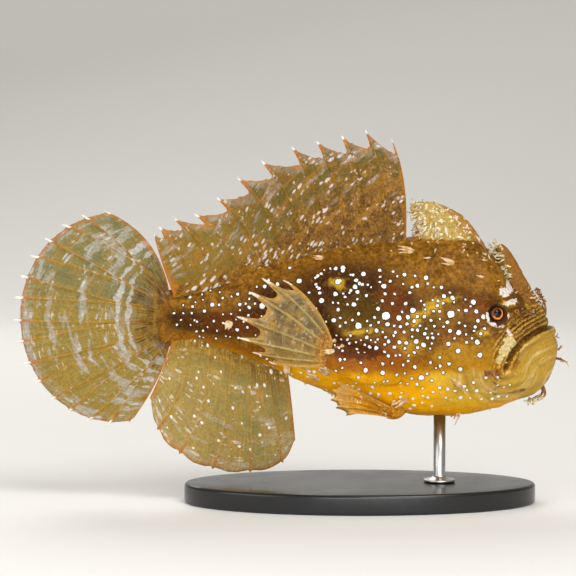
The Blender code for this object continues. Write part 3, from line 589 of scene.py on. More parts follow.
def faceRelief(places, eyes):
    # a crease between rounded lips, with folds of skin along it, and a raised rim round each eye socket
    x, _, z = places.T
    mouth = lineDistance(places, body["mouth"])
    front = smoothStep(*relief["face"], x)
    window = smoothStep(*relief["foldStart"], mouth) * (1 - smoothStep(*relief["foldEnd"], mouth))
    window *= smoothStep(*relief["foldAhead"], x) * (1 - smoothStep(*relief["foldTop"], z))
    (foldPush, waves), (swaySize, sway) = relief["folds"], relief["foldSway"]
    folds = np.sin(mouth * waves + noiseAt(places, swaySize, 2, 7.0) * sway) * window
    socket = np.full(len(places), 9.0)
    for place, _ in eyes:
        socket = np.minimum(socket, np.linalg.norm(places - np.array(place), axis=1))
    push = front * ridges(mouth, relief["lips"]) + foldPush * folds + ridges(socket, relief["socket"])
    push -= relief["socketDepth"] * (1 - smoothStep(*relief["socketHole"], socket))
    return push, {"mouthLine": mouth, "front": front, "folds": folds, "foldWindow": window, "socket": socket}


def looseRelief(places):  # soft dents, a fine pebbling and the throat's folds, which run round the jaw
    x, _, z = places.T
    (push, waves), (centreX, centreZ) = relief["throat"], relief["throatCentre"]
    jawReach = np.hypot(x - centreX, (z - centreZ) * relief["throatTaller"])
    underJaw = smoothStep(*relief["face"], x) * (1 - smoothStep(*relief["throatTop"], z))
    loose = sum(height * noiseAt(places, *grain) for height, *grain in relief["loose"])
    return loose + push * underJaw * np.sin(jawReach * waves)


def whiteSpots(mesh, surface):
    # spots stand a little proud, and each face keeps the centre and size of its nearest one
    places, normals = arrays(mesh)
    spots = throwSpots(surface, -1, 11) + throwSpots(surface, 1, 29)
    _, clear = nearestSpots(places, spots)
    raised = relief["spots"] * (1 - smoothStep(*relief["spotEdge"], clear))
    setPlaces(mesh, places + normals * raised[:, None])
    picks, _ = nearestSpots(np.array([face.center for face in mesh.polygons]), spots)
    centres = np.array([tuple(place) for place, _ in spots], dtype=np.float32) * metre
    layer = mesh.attributes.new("spotCentre", "FLOAT_VECTOR", "FACE")
    layer.data.foreach_set("vector", centres[picks].ravel())
    layer = mesh.attributes.new("spotSize", "FLOAT", "FACE")
    layer.data.foreach_set("value", np.array([size for _, size in spots], dtype=np.float32)[picks])


def nearness(places, picked, shells, reach):  # 1 on the shells, fading out over the reach
    tree = BVHTree.FromPolygons(*merged(shells))
    values = np.zeros(len(places))
    for i in np.nonzero(picked)[0]:
        values[i] = math.exp(-(tree.find_nearest(Vector(places[i]))[3] / reach) ** 2)
    return values


def zoneMasks(places, face):
    x, y, z = places.T
    aside, mouth = np.abs(y), face["mouthLine"]
    masks = {name: blobs(places, rows) for name, rows in zones.items()}
    # the jaw's zone also takes in the skin below the lip, from the cheek forwards and 14 mm down
    belowLip = smoothStep(0.3, 1.4, -mouth) * smoothStep(37, 40, x) * (mouth > -14)
    masks["jawZone"] = np.maximum(masks["jawZone"], belowLip * 0.85)
    # lilac patches stay off the midline on the forehead, and near it on the chin
    masks["lilacZone"] *= np.where(x < 42, smoothStep(1.5, 4.5, aside), 1 - smoothStep(2.0, 4.0, aside))
    # level: 0 at the belly's edge and 1 at the back's, raised along the tail stalk, which has no pale belly
    sections = np.array(body["sections"])[:14]
    top = np.interp(x, sections[:, 0], sections[:, 1])
    bottom = np.interp(x, sections[:, 2], sections[:, 3])
    masks["level"] = (z - bottom) / np.maximum(top - bottom, 5.0) + 0.24 * (1 - smoothStep(-27, -10, x))
    # what grows out of the head near the midline, and out of the flanks behind it
    crown = (z > 46) & (aside < 5) & (x > 10)
    masks["lichenZone"] = nearness(places, crown, [spineShell(spines["third"])], 1.0)
    masks["lichenFront"] = masks["lichenZone"] * smoothStep(20, 27, x + (z - 70) * 0.8)
    # near the second spine: carries the spine's own brown and a painted shadow round its foot
    masks["rodAndShadowZone"] = nearness(places, crown, [spineShell(spines["second"])], 0.7)
    beside = (aside > 8) & (x < 16) & (x > -14)
    masks["armZone"] = nearness(places, beside, [armShell(-1), armShell(1)], 1.0) * smoothStep(30.5, 37.5, z)
    return masks


def makeSkin(skinMaterial, papillaMaterial):
    trunk = bodyShell()
    plain = SkinSurface(*trunk)
    eyeHits = {word: plain.hit(*body["eye"], side) for word, side in sides.items()}
    mesh = fusedSkin([trunk, *map(armShell, (-1, 1)), *map(spineShell, spines.values())])
    places, normals = arrays(mesh)
    push, face = faceRelief(places, eyeHits.values())
    places = places + normals * (push + looseRelief(places))[:, None]
    setPlaces(mesh, places)
    surface = SkinSurface([tuple(p) for p in places], [tuple(polygon.vertices) for polygon in mesh.polygons])
    whiteSpots(mesh, surface)
    for name, values in {**face, **zoneMasks(places, face)}.items():
        storeMask(mesh, name, values)
    papillae(mesh, papillaMaterial)
    finished("fishSkin", mesh, skinMaterial, (
        "head", "lower_jaw", "trunk", "tail_stalk", "pectoral_arm_right", "pectoral_arm_left",
        "second_dorsal_spine", "third_dorsal_spine",
    ))
    return surface, eyeHits


# Papillae: small fleshy points that stand on the loose skin

papilla = {"Density": 0.09, "Length": 0.9, "Width": 0.3, "Seed": 7}  # the tree's inputs, lengths in mm


def papillaeTree(material):
    # Geometry Nodes tree: points thrown on the skin where the mask is strong, a small cone on each
    tree = bpy.data.node_groups.new("scatterPapillae", "GeometryNodeTree")
    tree.interface.new_socket("Skin", in_out="INPUT", socket_type="NodeSocketGeometry")
    for name, kind in (("Density", "Float"), ("Length", "Float"), ("Width", "Float"), ("Seed", "Int")):
        tree.interface.new_socket(name, in_out="INPUT", socket_type=f"NodeSocket{kind}")
    tree.interface.new_socket("Papillae", in_out="OUTPUT", socket_type="NodeSocketGeometry")
    given = addNode(tree, "NodeGroupInput").outputs
    zone = addNode(tree, "GeometryNodeInputNamedAttribute", {"Name": "papillaZone"}, data_type="FLOAT")
    density = addNode(tree, "ShaderNodeMath", (zone, given["Density"]), operation="MULTIPLY")
    points = addNode(tree, "GeometryNodeDistributePointsOnFaces",
                     {"Mesh": given["Skin"], "Density": density, "Seed": given["Seed"]})
    cone = addNode(tree, "GeometryNodeMeshCone", {
        "Vertices": 6, "Side Segments": 3, "Radius Top": 0.15, "Radius Bottom": 1.0, "Depth": 1.0,
    })
    spread = addNode(tree, "FunctionNodeRandomValue",
                     {0: (-0.7, -0.7, 0.0), 1: (0.7, 0.7, 6.3), "Seed": 3}, data_type="FLOAT_VECTOR")
    leaned = addNode(tree, "FunctionNodeRotateRotation",
                     {"Rotation": points.outputs["Rotation"], "Rotate By": spread}, rotation_space="LOCAL")
    size = addNode(tree, "ShaderNodeCombineXYZ", (given["Width"], given["Width"], given["Length"]))
    uneven = addNode(tree, "FunctionNodeRandomValue", {2: 0.45, 3: 1.0, "Seed": 5}, data_type="FLOAT")
    scale = addNode(tree, "ShaderNodeVectorMath", {0: size, "Scale": uneven.outputs[1]}, operation="SCALE")
    placed = addNode(tree, "GeometryNodeInstanceOnPoints",
                     {"Points": points, "Instance": cone, "Rotation": leaned, "Scale": scale})
    real = addNode(tree, "GeometryNodeRealizeInstances", {"Geometry": placed})
    painted = addNode(tree, "GeometryNodeSetMaterial", {"Geometry": real, "Material": material})
    addNode(tree, "NodeGroupOutput", {"Papillae": painted})
    return tree


def papillae(skinMesh, material):
    carrier = inScene("papillaCarrier", skinMesh.copy())
    scatter = carrier.modifiers.new("scatter", "NODES")
    tree = papillaeTree(material)
    scatter.node_group = tree
    for item in tree.interface.items_tree:
        if item.in_out == "INPUT" and item.name in papilla:
            scatter[item.identifier] = papilla[item.name]
    mesh = evaluated(carrier)
    finished("skinPapillae", mesh, material)


# Paint: coats brushed over one another, each where a worn mask lets it cover

skinGrains = {
    # size in mm, detail, roughness, distortion
    "broad": (6.5, 5.0, 0.6, 0.0),
    "mottle": (1.6, 6.0, 0.66, 0.35),
    "fine": (0.8, 4.0, 0.7, 0.0),
    "grit": (0.35, 2.0, 0.7, 0.0),
    "flecks": (1.3, 3.0, 0.55, 1.5),
    "ink": (2.3, 3.0, 0.5, 0.6),
    "clouds": (3.4, 4.0, 0.6, 0.8),
}
skinCoats = (
    # mask, colour, where it starts and is full, strongest cover, how much the mottle eats its edge
    ("darkZone", "#331500", 0.20, 0.80, 0.90, 0.90),
    ("cheekZone", "#4c2d07", 0.25, 0.85, 0.80, 1.30),
    ("oliveZone", "#4b3700", 0.25, 0.90, 0.78, 0.70),
    ("russetZone", "#673107", 0.30, 0.85, 0.70, 0.80),
    ("level", "#935603", 0.46, 0.24, 0.8, 0.30),
    ("level", "#eda90a", 0.34, 0.12, 0.97, 0.18),
    ("level", "#e79a06", 0.10, -0.04, 0.6, 0.16),
    ("goldZone", "#a47712", 0.20, 0.85, 0.70, 1.30),
    ("lemonZone", "#d2a82f", 0.20, 0.80, 0.85, 0.60),
    ("jawZone", "#aa8732", 0.25, 0.80, 0.92, 0.45),
    ("yellowZone", "#bd9424", 0.25, 0.95, 0.85, 1.50),
    ("armZone", "#84460c", 0.20, 0.80, 0.85, 0.30),
    # painted shade in the crease between arm and flank
    ("axilShadeZone", "#461f08", 0.20, 0.70, 0.85, 0.80),
    # painted shadow: a dark halo on the head round the foot of the second spine; the next row is the spine's
    # own brown
    ("rodAndShadowZone", "#412608", 0.06, 0.28, 0.75, 0.40),
    ("rodAndShadowZone", "#845820", 0.50, 0.85, 1.0, 0.30),
    ("lichenZone", "#a98d4a", 0.30, 0.70, 1.0, 0.90),
    ("lichenFront", "#966824", 0.30, 0.75, 0.9, 0.40),
    ("foldWindow", "#86590f", 0.20, 0.80, 0.7, 0.30),
)
skinMasks = [
    *zones, "mouthLine", "front", "folds", "foldWindow", "socket", "level",
    "lichenZone", "lichenFront", "rodAndShadowZone", "armZone",
]


def readings(tree, coords, grains, masks):  # noises in object space and the masks that the mesh carries
    noises = {}
    for name, (size, detail, rough, turned) in grains.items():
        noises[name] = addNode(tree, "ShaderNodeTexNoise", {
            "Vector": coords, "Scale": perMetre(size), "Detail": detail, "Roughness": rough,
            "Distortion": turned,
        })
    carried = {}
    for name in masks:
        carried[name] = addNode(tree, "ShaderNodeAttribute", attribute_name=name).outputs["Fac"]
    return noises, carried


def grained(tree, value, *grains):  # grains are noises with their strengths, each centred before it is added
    for grain, strength in grains:
        centred = addNode(tree, "ShaderNodeMath", (grain, strength, -strength / 2), operation="MULTIPLY_ADD")
        value = addNode(tree, "ShaderNodeMath", (value, centred), operation="ADD")
    return value


def wornMask(tree, mask, start, full, most=1.0, *grains):
    # runs from 0 at the start to the most where it is full; the most may be a mask; grains eat into its edge
    return addNode(tree, "ShaderNodeMapRange", {
        "Value": grained(tree, mask, *grains), "From Min": start, "From Max": full, "To Max": most,
    }, interpolation_type="SMOOTHSTEP").outputs[0]


class Painting:  # the colour of a material, coat over coat
    def __init__(self, tree, colour):
        self.tree, self.colour = tree, colour

    def coat(self, paint, mask, start, full, most=1.0, *grains):
        cover = wornMask(self.tree, mask, start, full, most, *grains)
        paint = toLinear(paint) if isinstance(paint, str) else paint
        brushed = addNode(self.tree, "ShaderNodeMix", {0: cover, 6: self.colour, 7: paint}, data_type="RGBA")
        self.colour = brushed.outputs[2]
        return cover


def paintedSkin():
    # Silicone rubber cast over a resin core, airbrushed and varnished: soft colour edges under a satin gloss
    material, tree, coords = newMaterial("airbrushedSiliconeSkin")
    noises, masks = readings(tree, coords, skinGrains, skinMasks)
    broad, mottle, fine, grit, flecks, ink, clouds = (made.outputs["Fac"] for made in noises.values())
    mouth = masks["mouthLine"]
    ground = addNode(tree, "ShaderNodeValToRGB", {"Fac": grained(tree, mottle, (broad, 0.5))}, (
        (0.30, "#573708"), (0.5, "#764c0f"), (0.70, "#92661e"),
    ))
    layers = Painting(tree, ground.outputs[0])
    layers.coat("#9c6c1e", clouds, 0.52, 0.68, 0.55, (fine, 0.2))
    layers.coat("#52350c", clouds, 0.47, 0.34, 0.55, (fine, 0.2))
    for name, paint, start, full, most, eaten in skinCoats:
        layers.coat(paint, masks[name], start, full, most, (mottle, eaten), (clouds, eaten * 0.5))
    # painted highlight on the crests of the lip folds, and painted shade in their troughs
    layers.coat("#ab8230", masks["folds"], 0.15, 0.75, 0.55, (mottle, 0.8))
    layers.coat("#432407", masks["folds"], -0.15, -0.8, 0.75, (mottle, 1.2))

    # wrinkles painted along the lips, dark in their creases and pale on their crests as painted shade and
    # painted highlight, and brown veins over the snout, fading out down the jaw
    lip = addNode(tree, "ShaderNodeMath", (mouth,), operation="ABSOLUTE").outputs[0]
    upperLip = wornMask(tree, mouth, 8.5, 4.0, masks["front"], (mottle, 4.0))
    nearLip = wornMask(tree, mouth, -2.6, -0.4, upperLip, (clouds, 3.0))
    bent = addNode(tree, "ShaderNodeMath", (flecks, 9.0), operation="MULTIPLY")
    swung = addNode(tree, "ShaderNodeMath", (mouth, 6.5, bent), operation="MULTIPLY_ADD")
    waves = addNode(tree, "ShaderNodeMath", (swung,), operation="SINE")
    wrinkles = addNode(tree, "ShaderNodeMath", (waves, nearLip), operation="MULTIPLY").outputs[0]
    # painted shade in the creases of the wrinkles, then painted highlight on their crests
    layers.coat("#5a3407", wrinkles, 0.1, 0.95, 0.6, (fine, 1.0), (clouds, 1.4))
    layers.coat("#d3b056", wrinkles, -0.2, -0.95, 0.45, (fine, 0.8), (clouds, 1.4))
    offInk = addNode(tree, "ShaderNodeMath", (ink, 0.5), operation="SUBTRACT")
    vein = addNode(tree, "ShaderNodeMath", (offInk,), operation="ABSOLUTE").outputs[0]
    ahead = wornMask(tree, masks["front"], 0.3, 1.0, 0.85)
    snout = wornMask(tree, mouth, 13.0, 7.0, ahead)
    onSnout = wornMask(tree, mouth, 1.0, 4.0, snout)
    layers.coat("#4a2706", vein, 0.05, 0.006, onSnout, (mottle, 0.05))
    # the jaw: pale and brown streaks that follow the mouth
    parts = addNode(tree, "ShaderNodeSeparateXYZ", (coords,)).outputs
    low = addNode(tree, "ShaderNodeMath", (parts[2], perMetre(9.0)), operation="MULTIPLY")
    deep = addNode(tree, "ShaderNodeMath", (parts[1], perMetre(9.0)), operation="MULTIPLY")
    flow = addNode(tree, "ShaderNodeCombineXYZ", (mouth, low, deep))
    streaks = addNode(tree, "ShaderNodeTexNoise", {"Vector": flow, "Scale": 0.85, "Detail": 4.0}).outputs[0]
    onJaw = wornMask(tree, masks["jawZone"], 0.3, 0.7, 0.42)
    layers.coat("#e3cd92", streaks, 0.5, 0.68, onJaw)
    layers.coat("#8a611a", streaks, 0.46, 0.3, onJaw)

    # painted shade along the crease of the mouth, and dark skin round the eye
    layers.coat("#2c1505", lip, 0.55, 0.1, ahead)
    layers.coat("#3c1c10", masks["socket"], 3.0, 2.2, 0.9, (mottle, 1.4))
    # freckling, calmer on the jaw and belly, with gold flecks on the back
    blended = grained(tree, fine, (grit, 0.6))
    strong = addNode(tree, "ShaderNodeMapRange",
                     {"Value": blended, "From Min": 0.3, "From Max": 0.7, "To Min": 0.6, "To Max": 1.34})
    belly = wornMask(tree, masks["level"], 0.4, 0.16, 0.7)
    jaw = wornMask(tree, masks["jawZone"], 0.3, 0.8, 0.5)
    calm = addNode(tree, "ShaderNodeMath", (jaw, belly), operation="MAXIMUM")
    shade = addNode(tree, "ShaderNodeMix", {0: calm, 2: strong, 3: 1.02}, data_type="FLOAT")
    shaded = addNode(tree, "ShaderNodeVectorMath", {0: layers.colour, "Scale": shade}, operation="SCALE")
    layers.colour = shaded.outputs[0]
    layers.coat("#b78a36", flecks, 0.58, 0.72, 0.28)
    layers.coat("#2e1a05", flecks, 0.36, 0.27, 0.3)
    # pale lichen flakes on the third spine, lilac and buff patches on the face, with crisp, ragged edges
    layers.coat("#ddd2bd", masks["lichenZone"], 1.12, 1.25, 0.9, (mottle, 2.6))
    for name, *tones in (
        ("lilacZone", (0.3, "#b09c92"), (0.5, "#d9ccc4"), (0.7, "#f2ebe6")),
        ("buffZone", (0.3, "#a08c52"), (0.5, "#c0ac76"), (0.7, "#dacda2")),
    ):
        tone = addNode(tree, "ShaderNodeValToRGB", {"Fac": fine}, tones).outputs[0]
        layers.coat(tone, masks[name], 0.5, 0.6, 0.92, (mottle, 1.2), (fine, 0.5))
    # white spots, each with a thin dark rim that fades out on the belly
    centre = addNode(tree, "ShaderNodeAttribute", attribute_name="spotCentre").outputs["Vector"]
    size = addNode(tree, "ShaderNodeAttribute", attribute_name="spotSize").outputs["Fac"]
    shift = addNode(tree, "ShaderNodeVectorMath", (
        noises["fine"].outputs["Color"], (0.0007,) * 3, (-0.00035,) * 3,
    ), operation="MULTIPLY_ADD")
    moved = addNode(tree, "ShaderNodeVectorMath", (coords, shift), operation="ADD")
    away = addNode(tree, "ShaderNodeVectorMath", (moved, centre), operation="DISTANCE").outputs["Value"]
    less = addNode(tree, "ShaderNodeMath", (size, -0.9), operation="MULTIPLY")
    clear = addNode(tree, "ShaderNodeMath", (away, 1000.0, less), operation="MULTIPLY_ADD").outputs[0]
    rimmed = wornMask(tree, masks["level"], 0.05, 0.3, 0.9)
    layers.coat("#211203", clear, 0.38, 0.1, rimmed)
    layers.coat("#f4efe6", clear, 0.08, -0.05)

    height = addNode(tree, "ShaderNodeMath", (wrinkles, -0.5, blended), operation="MULTIPLY_ADD")
    bump = addNode(tree, "ShaderNodeBump", {"Strength": 0.45, "Distance": 0.00016, "Height": height})
    rough = addNode(tree, "ShaderNodeMapRange",
                    {"Value": broad, "From Min": 0.3, "From Max": 0.7, "To Min": 0.34, "To Max": 0.5})
    shader = addNode(tree, "ShaderNodeBsdfPrincipled", {
        "Base Color": layers.colour, "Normal": bump, "Roughness": rough, "IOR": 1.42,
        "Subsurface Weight": 0.1, "Subsurface Scale": 0.0008,
        "Specular IOR Level": 0.1, "Coat Weight": 0.02, "Coat Roughness": 0.2,
    })
    addNode(tree, "ShaderNodeOutputMaterial", {"Surface": shader})
    return material


# Fins: rays raised in a thin membrane

finMasks = ("ray", "edge", "along", "across", "tip", "flesh", "outer")
plainMasks = {"edge": 20.0, "tip": 20.0, "flesh": 1.0, "outer": 20.0}  # on a stalk: far from any edge or ray


membrane = {
    "gapAt": 0.7,  # the gap between two rays is measured at this share of their length
    "outerAt": (0.75, 1.0),  # and at these for the columns of points beside a ray
    "nearest": 0.44,  # most that such a column may take of the gap
    "thinRows": 2.5, "thinner": 0.55,  # rows at the edge over which the sheet thins, and by how much
    "billowFrom": (0.15, 0.7), "otherWay": -0.6,  # every second panel billows less, to the other side
}


def finSheet(rays, style):
    last, middle = len(rays) - 1, membrane["gapAt"]
    spacing = [(rays[i + 1](middle) - rays[i](middle)).length for i in range(last)] + [1.0]
    started = [sum(spacing[:i]) for i in range(len(rays))]
    columns = []
    for i in range(last):
        space = max((rays[i + 1](t) - rays[i](t)).length for t in membrane["outerAt"])
        near = [min(s / space, membrane["nearest"]) for s in style["columns"]]
        inner = style["between"]
        fill = [near[-1] + (1 - 2 * near[-1]) * (k + 1) / (inner + 1) for k in range(inner)]
        columns.append((i, 0.0))
        columns += [(i, f) for f in sorted(set(round(v, 5) for v in near + fill + [1 - v for v in near]))]
    columns.append((last, 0.0))
    rows = style["rows"]
    front, halves = [], []
    masks = {name: [] for name in finMasks}
    for i, f in columns:
        isRay = f == 0.0
        other = min(i + 1, last)
        fromTip = 0.0 if isRay else min(f, 1 - f) * (rays[other](1.0) - rays[i](1.0)).length
        spike = math.exp(-(fromTip / style["spike"]) ** 2)
        base = style["margin"](f, i)
        ragged = style["ragged"] * noise.noise(Vector((i * 3.1 + f * 9.0, 2.0, 5.0)))
        reach = base + (1 - base) * spike + ragged * (1 - spike)
        length = (rays[i](1.0) - rays[i](0.0)).length
        climb = style["climb"](i / last)
        for k in range(rows + 1):
            t = reach * (k / rows)
            here, beyond = rays[i](t), rays[other](t)
            place = here.lerp(beyond, f)
            away = 0.0 if isRay else min(f, 1 - f) * (beyond - here).length
            ridge = math.exp(-(away / style["rayWidth"]) ** 2)
            rayHalf = style["rayHalf"][0] + (style["rayHalf"][1] - style["rayHalf"][0]) * t
            thin = style["membraneHalf"] + (rayHalf - style["membraneHalf"]) * ridge
            half = thin + max(style["rootHalf"] - thin, 0) * (1 - t) ** style["fleshPower"]
            half *= 1 - membrane["thinner"] * smoothStep(rows - membrane["thinRows"], rows, k)
            billow = style["billow"] * math.sin(math.pi * f) * smoothStep(*membrane["billowFrom"], t)
            if "sway" in style:
                place = place + Vector((0, style["sway"](place) * t * t, 0))
            front.append((place, billow * (1 if i % 2 else membrane["otherWay"])))
            halves.append(half)
            masks["ray"].append(ridge)
            masks["edge"].append((reach - t) * length)
            masks["along"].append(t * length)
            across = started[i] + f * spacing[i]
            masks["across"].append(across)
            masks["outer"].append(min(across, started[last] - across))
            masks["tip"].append((1 - t) * length)
            masks["flesh"].append(1 - t / climb)
    wide, high = len(columns), rows + 1

    def at(c, r):
        return front[min(max(c, 0), wide - 1) * high + min(max(r, 0), high - 1)][0]

    points = [[], []]
    for c in range(wide):
        for r in range(high):
            across = (at(c + 1, r) - at(c - 1, r)).cross(at(c, r + 1) - at(c, r - 1)).normalized()
            place, billow = front[c * high + r]
            for face, sign in enumerate((1, -1)):
                points[face].append(place + across * (billow + halves[c * high + r] * sign))
    back = wide * high
    faces = []
    for c in range(wide - 1):
        for r in range(high - 1):
            quad = (c * high + r, (c + 1) * high + r, (c + 1) * high + r + 1, c * high + r + 1)
            faces.append(quad)
            faces.append(tuple(back + v for v in reversed(quad)))
    rim = [c * high for c in range(wide)]
    rim += [(wide - 1) * high + r for r in range(1, high)]
    rim += [c * high + high - 1 for c in range(wide - 2, -1, -1)]
    rim += [r for r in range(high - 2, 0, -1)]
    for k, a in enumerate(rim):
        b = rim[(k + 1) % len(rim)]
        faces.append((a, b, back + b, back + a))
    return points[0] + points[1], faces, {name: values * 2 for name, values in masks.items()}


def makeFin(name, rays, style, material, node, extra=()):
    points, faces, masks = finSheet(rays, style)
    count = len(points)
    points, faces = merged([(points, faces), *extra])
    mesh = meshFrom(name, points, faces)
    for mask, values in masks.items():
        storeMask(mesh, mask, values + [plainMasks.get(mask, 0.0)] * (len(points) - count))
    finished(name, mesh, material, (node,))


def simpleRay(root, tip, bow):  # bent by the bow, halfway
    bend = root.lerp(tip, 0.5) + bow
    return lambda t: bezier(root, bend, tip, t)


def midlineRays(style):
    # rays of an unpaired fin; the bow (forwards, less, rear, lift) bends them, the last few most of all
    forwards, less, rear, lift = style["bow"]
    front, back = style["rootX"]
    last = len(style["tips"]) - 1
    rays = []
    for i, (tipX, tipZ) in enumerate(style["tips"]):
        share = i / last
        x = front + (back - front) * share
        root = Vector((x, 0, profileHeight(x, style["column"]) + style["sunk"]))
        bend = Vector((x + forwards - less * share - rear * share ** 6, 0, root.z + (tipZ - root.z) * lift))
        tip = Vector((tipX, 0, tipZ))
        rays.append(lambda t, root=root, bend=bend, tip=tip: bezier(root, bend, tip, t))
    return rays


def pairedRays(style, side):
    # rays of a fin on both sides: the left one differs by its shift
    first, last = mirrored(style["roots"], side)
    tips = mirrored(style["tips"], side)
    shift = Vector(style["leftShift"] if side > 0 else (0, 0, 0))
    rays = []
    for i, tip in enumerate(tips):
        share = i / (len(tips) - 1)
        bow, = mirrored([style["bow"](share)], side)
        rays.append(simpleRay(first.lerp(last, share), tip + shift, bow))
    return rays


dorsal = {
    "rootX": (11.3, -46.4),
    "tips": (
        (7.8, 91.0), (1.2, 93.2), (-4.8, 91.8), (-11.0, 90.5), (-17.2, 89.0), (-24.8, 85.5), (-30.8, 81.3),
        (-36.0, 76.3), (-41.5, 72.2), (-47.0, 71.4), (-50.4, 69.0), (-51.6, 67.3),
    ),
    "column": 0, "sunk": -1.9, "bow": (1.2, 2.2, 2.9, 0.64),
    "rows": 44, "columns": (0.14, 0.32, 0.6, 1.0), "between": 6,
    "rootHalf": 2.6, "rayHalf": (0.62, 0.2), "membraneHalf": 0.16, "rayWidth": 0.34,
    "spike": 0.42, "ragged": 0.022, "billow": 0.22, "fleshPower": 6.0,
}
dorsal["margin"] = lambda f, i: 0.8 + 0.16 * f * f  # cut deep behind each ray, rising to the next
dorsal["climb"] = lambda share: 0.82 - 0.62 * smoothStep(0.1, 0.75, share)  # brown flesh reaches up the front
dorsal["sway"] = lambda place: 1.6 * math.sin((place.x + 6) / 9.0)


def makeDorsalFin(material):
    makeFin("dorsalFin", midlineRays(dorsal), dorsal, material, "dorsal_fin")


anal = {
    "rootX": (-18.2, -46.8),
    "tips": (
        (-16.2, 15.4), (-19.2, 9.6), (-27.5, 7.2), (-37.0, 8.2), (-45.3, 12.2), (-50.8, 18.4), (-52.5, 26.3),
    ),
    "column": 2, "sunk": 1.8, "bow": (1.5, 2.0, 2.3, 0.6),
    "rows": 40, "columns": (0.14, 0.32, 0.6, 1.0), "between": 6,
    "rootHalf": 1.5, "rayHalf": (0.55, 0.2), "membraneHalf": 0.16, "rayWidth": 0.34,
    "spike": 0.35, "ragged": 0.008, "billow": 0.3, "fleshPower": 3.0,
}
anal["margin"] = lambda f, i: 0.97 + 0.045 * math.sin(math.pi * f)
anal["climb"] = lambda share: 0.26 - 0.12 * share
anal["sway"] = lambda place: -1.9 * math.cos((place.x + 52) / 9.0)


def makeAnalFin(material):
    makeFin("analFin", midlineRays(anal), anal, material, "anal_fin")


tail = {
    "centre": (-42.0, 46.0), "angles": (51.0, -59.0), "radius": 44.8, "shorter": 9.8, "power": 2.2,
    "bendAbove": (5.6, 5.2), "bendBelow": (3.6, 1.2), "rays": 9, "fork": 0.38, "stemShare": 0.1,
    "rootX": -47.6, "rootZ": (52.2, 39.8),
    "rows": 48, "columns": (0.12, 0.28, 0.5), "between": 4,
    "rootHalf": 1.6, "rayHalf": (0.55, 0.2), "membraneHalf": 0.15, "rayWidth": 0.3,
    "spike": 0.32, "ragged": 0.006, "billow": 0.14, "fleshPower": 5.0, "twigPower": 1.15,
}
tail["margin"] = lambda f, i: 0.95 + 0.006 * math.sin(math.pi * f)
tail["climb"] = lambda share: 0.22
tail["sway"] = lambda place: -2.2 * math.sin((place.z - 46) / 13.0)


def tailTip(share):
    high, low = tail["angles"]
    angle = high + (low - high) * share
    radius = tail["radius"] - tail["shorter"] * (abs(angle) / high) ** tail["power"]
    x, z = tail["centre"]
    turn = math.radians(angle)
    return Vector((x - radius * math.cos(turn), 0, z + radius * math.sin(turn)))


def makeTailFin(material):
    branches = 2 * tail["rays"] - 2
    high, low = tail["rootZ"]
    rays = []
    for i in range(tail["rays"]):
        z = high + (low - high) * i / (tail["rays"] - 1)
        root = Vector((tail["rootX"], 0, z))
        twigs = [0] if i == 0 else [branches - 1] if i == tail["rays"] - 1 else [2 * i - 1, 2 * i]
        tips = [tailTip(k / (branches - 1)) for k in twigs]
        middle = sum(tips, Vector()) / len(tips)
        level = (z - (high + low) / 2) / (high - low) * 2
        over, up = tail["bendAbove"] if level > 0 else tail["bendBelow"]
        bend = root.lerp(middle, 0.5) + Vector((over, 0, up)) * level * level
        for tip in tips:
            def twig(t, root=root, bend=bend, middle=middle, apart=tip - middle):
                beyond = max(0.0, (t - tail["fork"]) / (1 - tail["fork"]))
                spread = tail["stemShare"] + (1 - tail["stemShare"]) * beyond ** tail["twigPower"]
                return bezier(root, bend, middle, t) + apart * spread
            rays.append(twig)
    makeFin("tailFin", rays, tail, material, "caudal_fin")


hand = {
    "roots": ((-7.2, -16.8, 41.4), (-9.0, -16.6, 36.0)), "leftShift": (0, 1.6, -1.6),
    "tips": (
        (-19.2, -17.6, 56.6), (-24.3, -20.2, 57.2), (-27.4, -21.8, 54.0), (-30.4, -22.2, 48.0),
        (-29.8, -21.0, 42.7), (-26.6, -18.8, 39.1), (-22.6, -16.6, 36.6),
    ),
    "rows": 32, "columns": (0.12, 0.26, 0.5), "between": 5,
    "rootHalf": 1.2, "rayHalf": (0.55, 0.3), "membraneHalf": 0.15, "rayWidth": 0.32,
    "spike": 0.7, "ragged": 0.014, "billow": 0.25, "fleshPower": 3.5,
}
hand["margin"] = lambda f, i: 0.78 + 0.06 * f - 0.05 * math.sin(math.pi * f)
hand["climb"] = lambda share: 0.22
hand["bow"] = lambda share: (
    Vector((2.2, -1.0, 3.4)) * (1 - share) ** 1.5 - Vector((0.4, 0.8, 1.2)) * share
)


def makeHand(word, side, material):
    makeFin(f"pectoralFin{word}", pairedRays(hand, side), hand, material, f"pectoral_fin_{word.lower()}")


pelvic = {
    # x, y, z, half height and half depth
    "stalk": ((11.5, -3.6, 25.6, 1.7, 1.4), (9.0, -5.6, 23.6, 2.1, 1.3), (6.6, -6.6, 23.4, 1.7, 0.8)),
    "stalkSteps": 10, "stalkPoints": 24,
    "roots": ((7.2, -7.4, 24.8), (7.6, -5.8, 21.9)), "leftShift": (0, 0, -2.8),
    "tips": (
        (-5.8, -12.4, 31.4), (-7.2, -12.6, 29.4), (-7.2, -12.3, 27.2), (-5.8, -11.5, 25.2),
        (-3.2, -10.3, 23.4),
    ),
    "rows": 28, "columns": (0.12, 0.28), "between": 4,
    "rootHalf": 0.9, "rayHalf": (0.5, 0.2), "membraneHalf": 0.15, "rayWidth": 0.3,
    "spike": 0.4, "ragged": 0.012, "billow": 0.12, "fleshPower": 3.0,
}
pelvic["margin"] = lambda f, i: 0.94 - 0.02 * math.sin(math.pi * f)
pelvic["climb"] = lambda share: 0.4
pelvic["bow"] = lambda share: (0, -1.4, 0.6)


def makePelvic(word, side, material):
    stalk = limb(pelvic["stalk"], pelvic["stalkSteps"], pelvic["stalkPoints"], side)
    rays = pairedRays(pelvic, side)
    makeFin(f"pelvicFin{word}", rays, pelvic, material, f"pelvic_fin_{word.lower()}", [stalk])


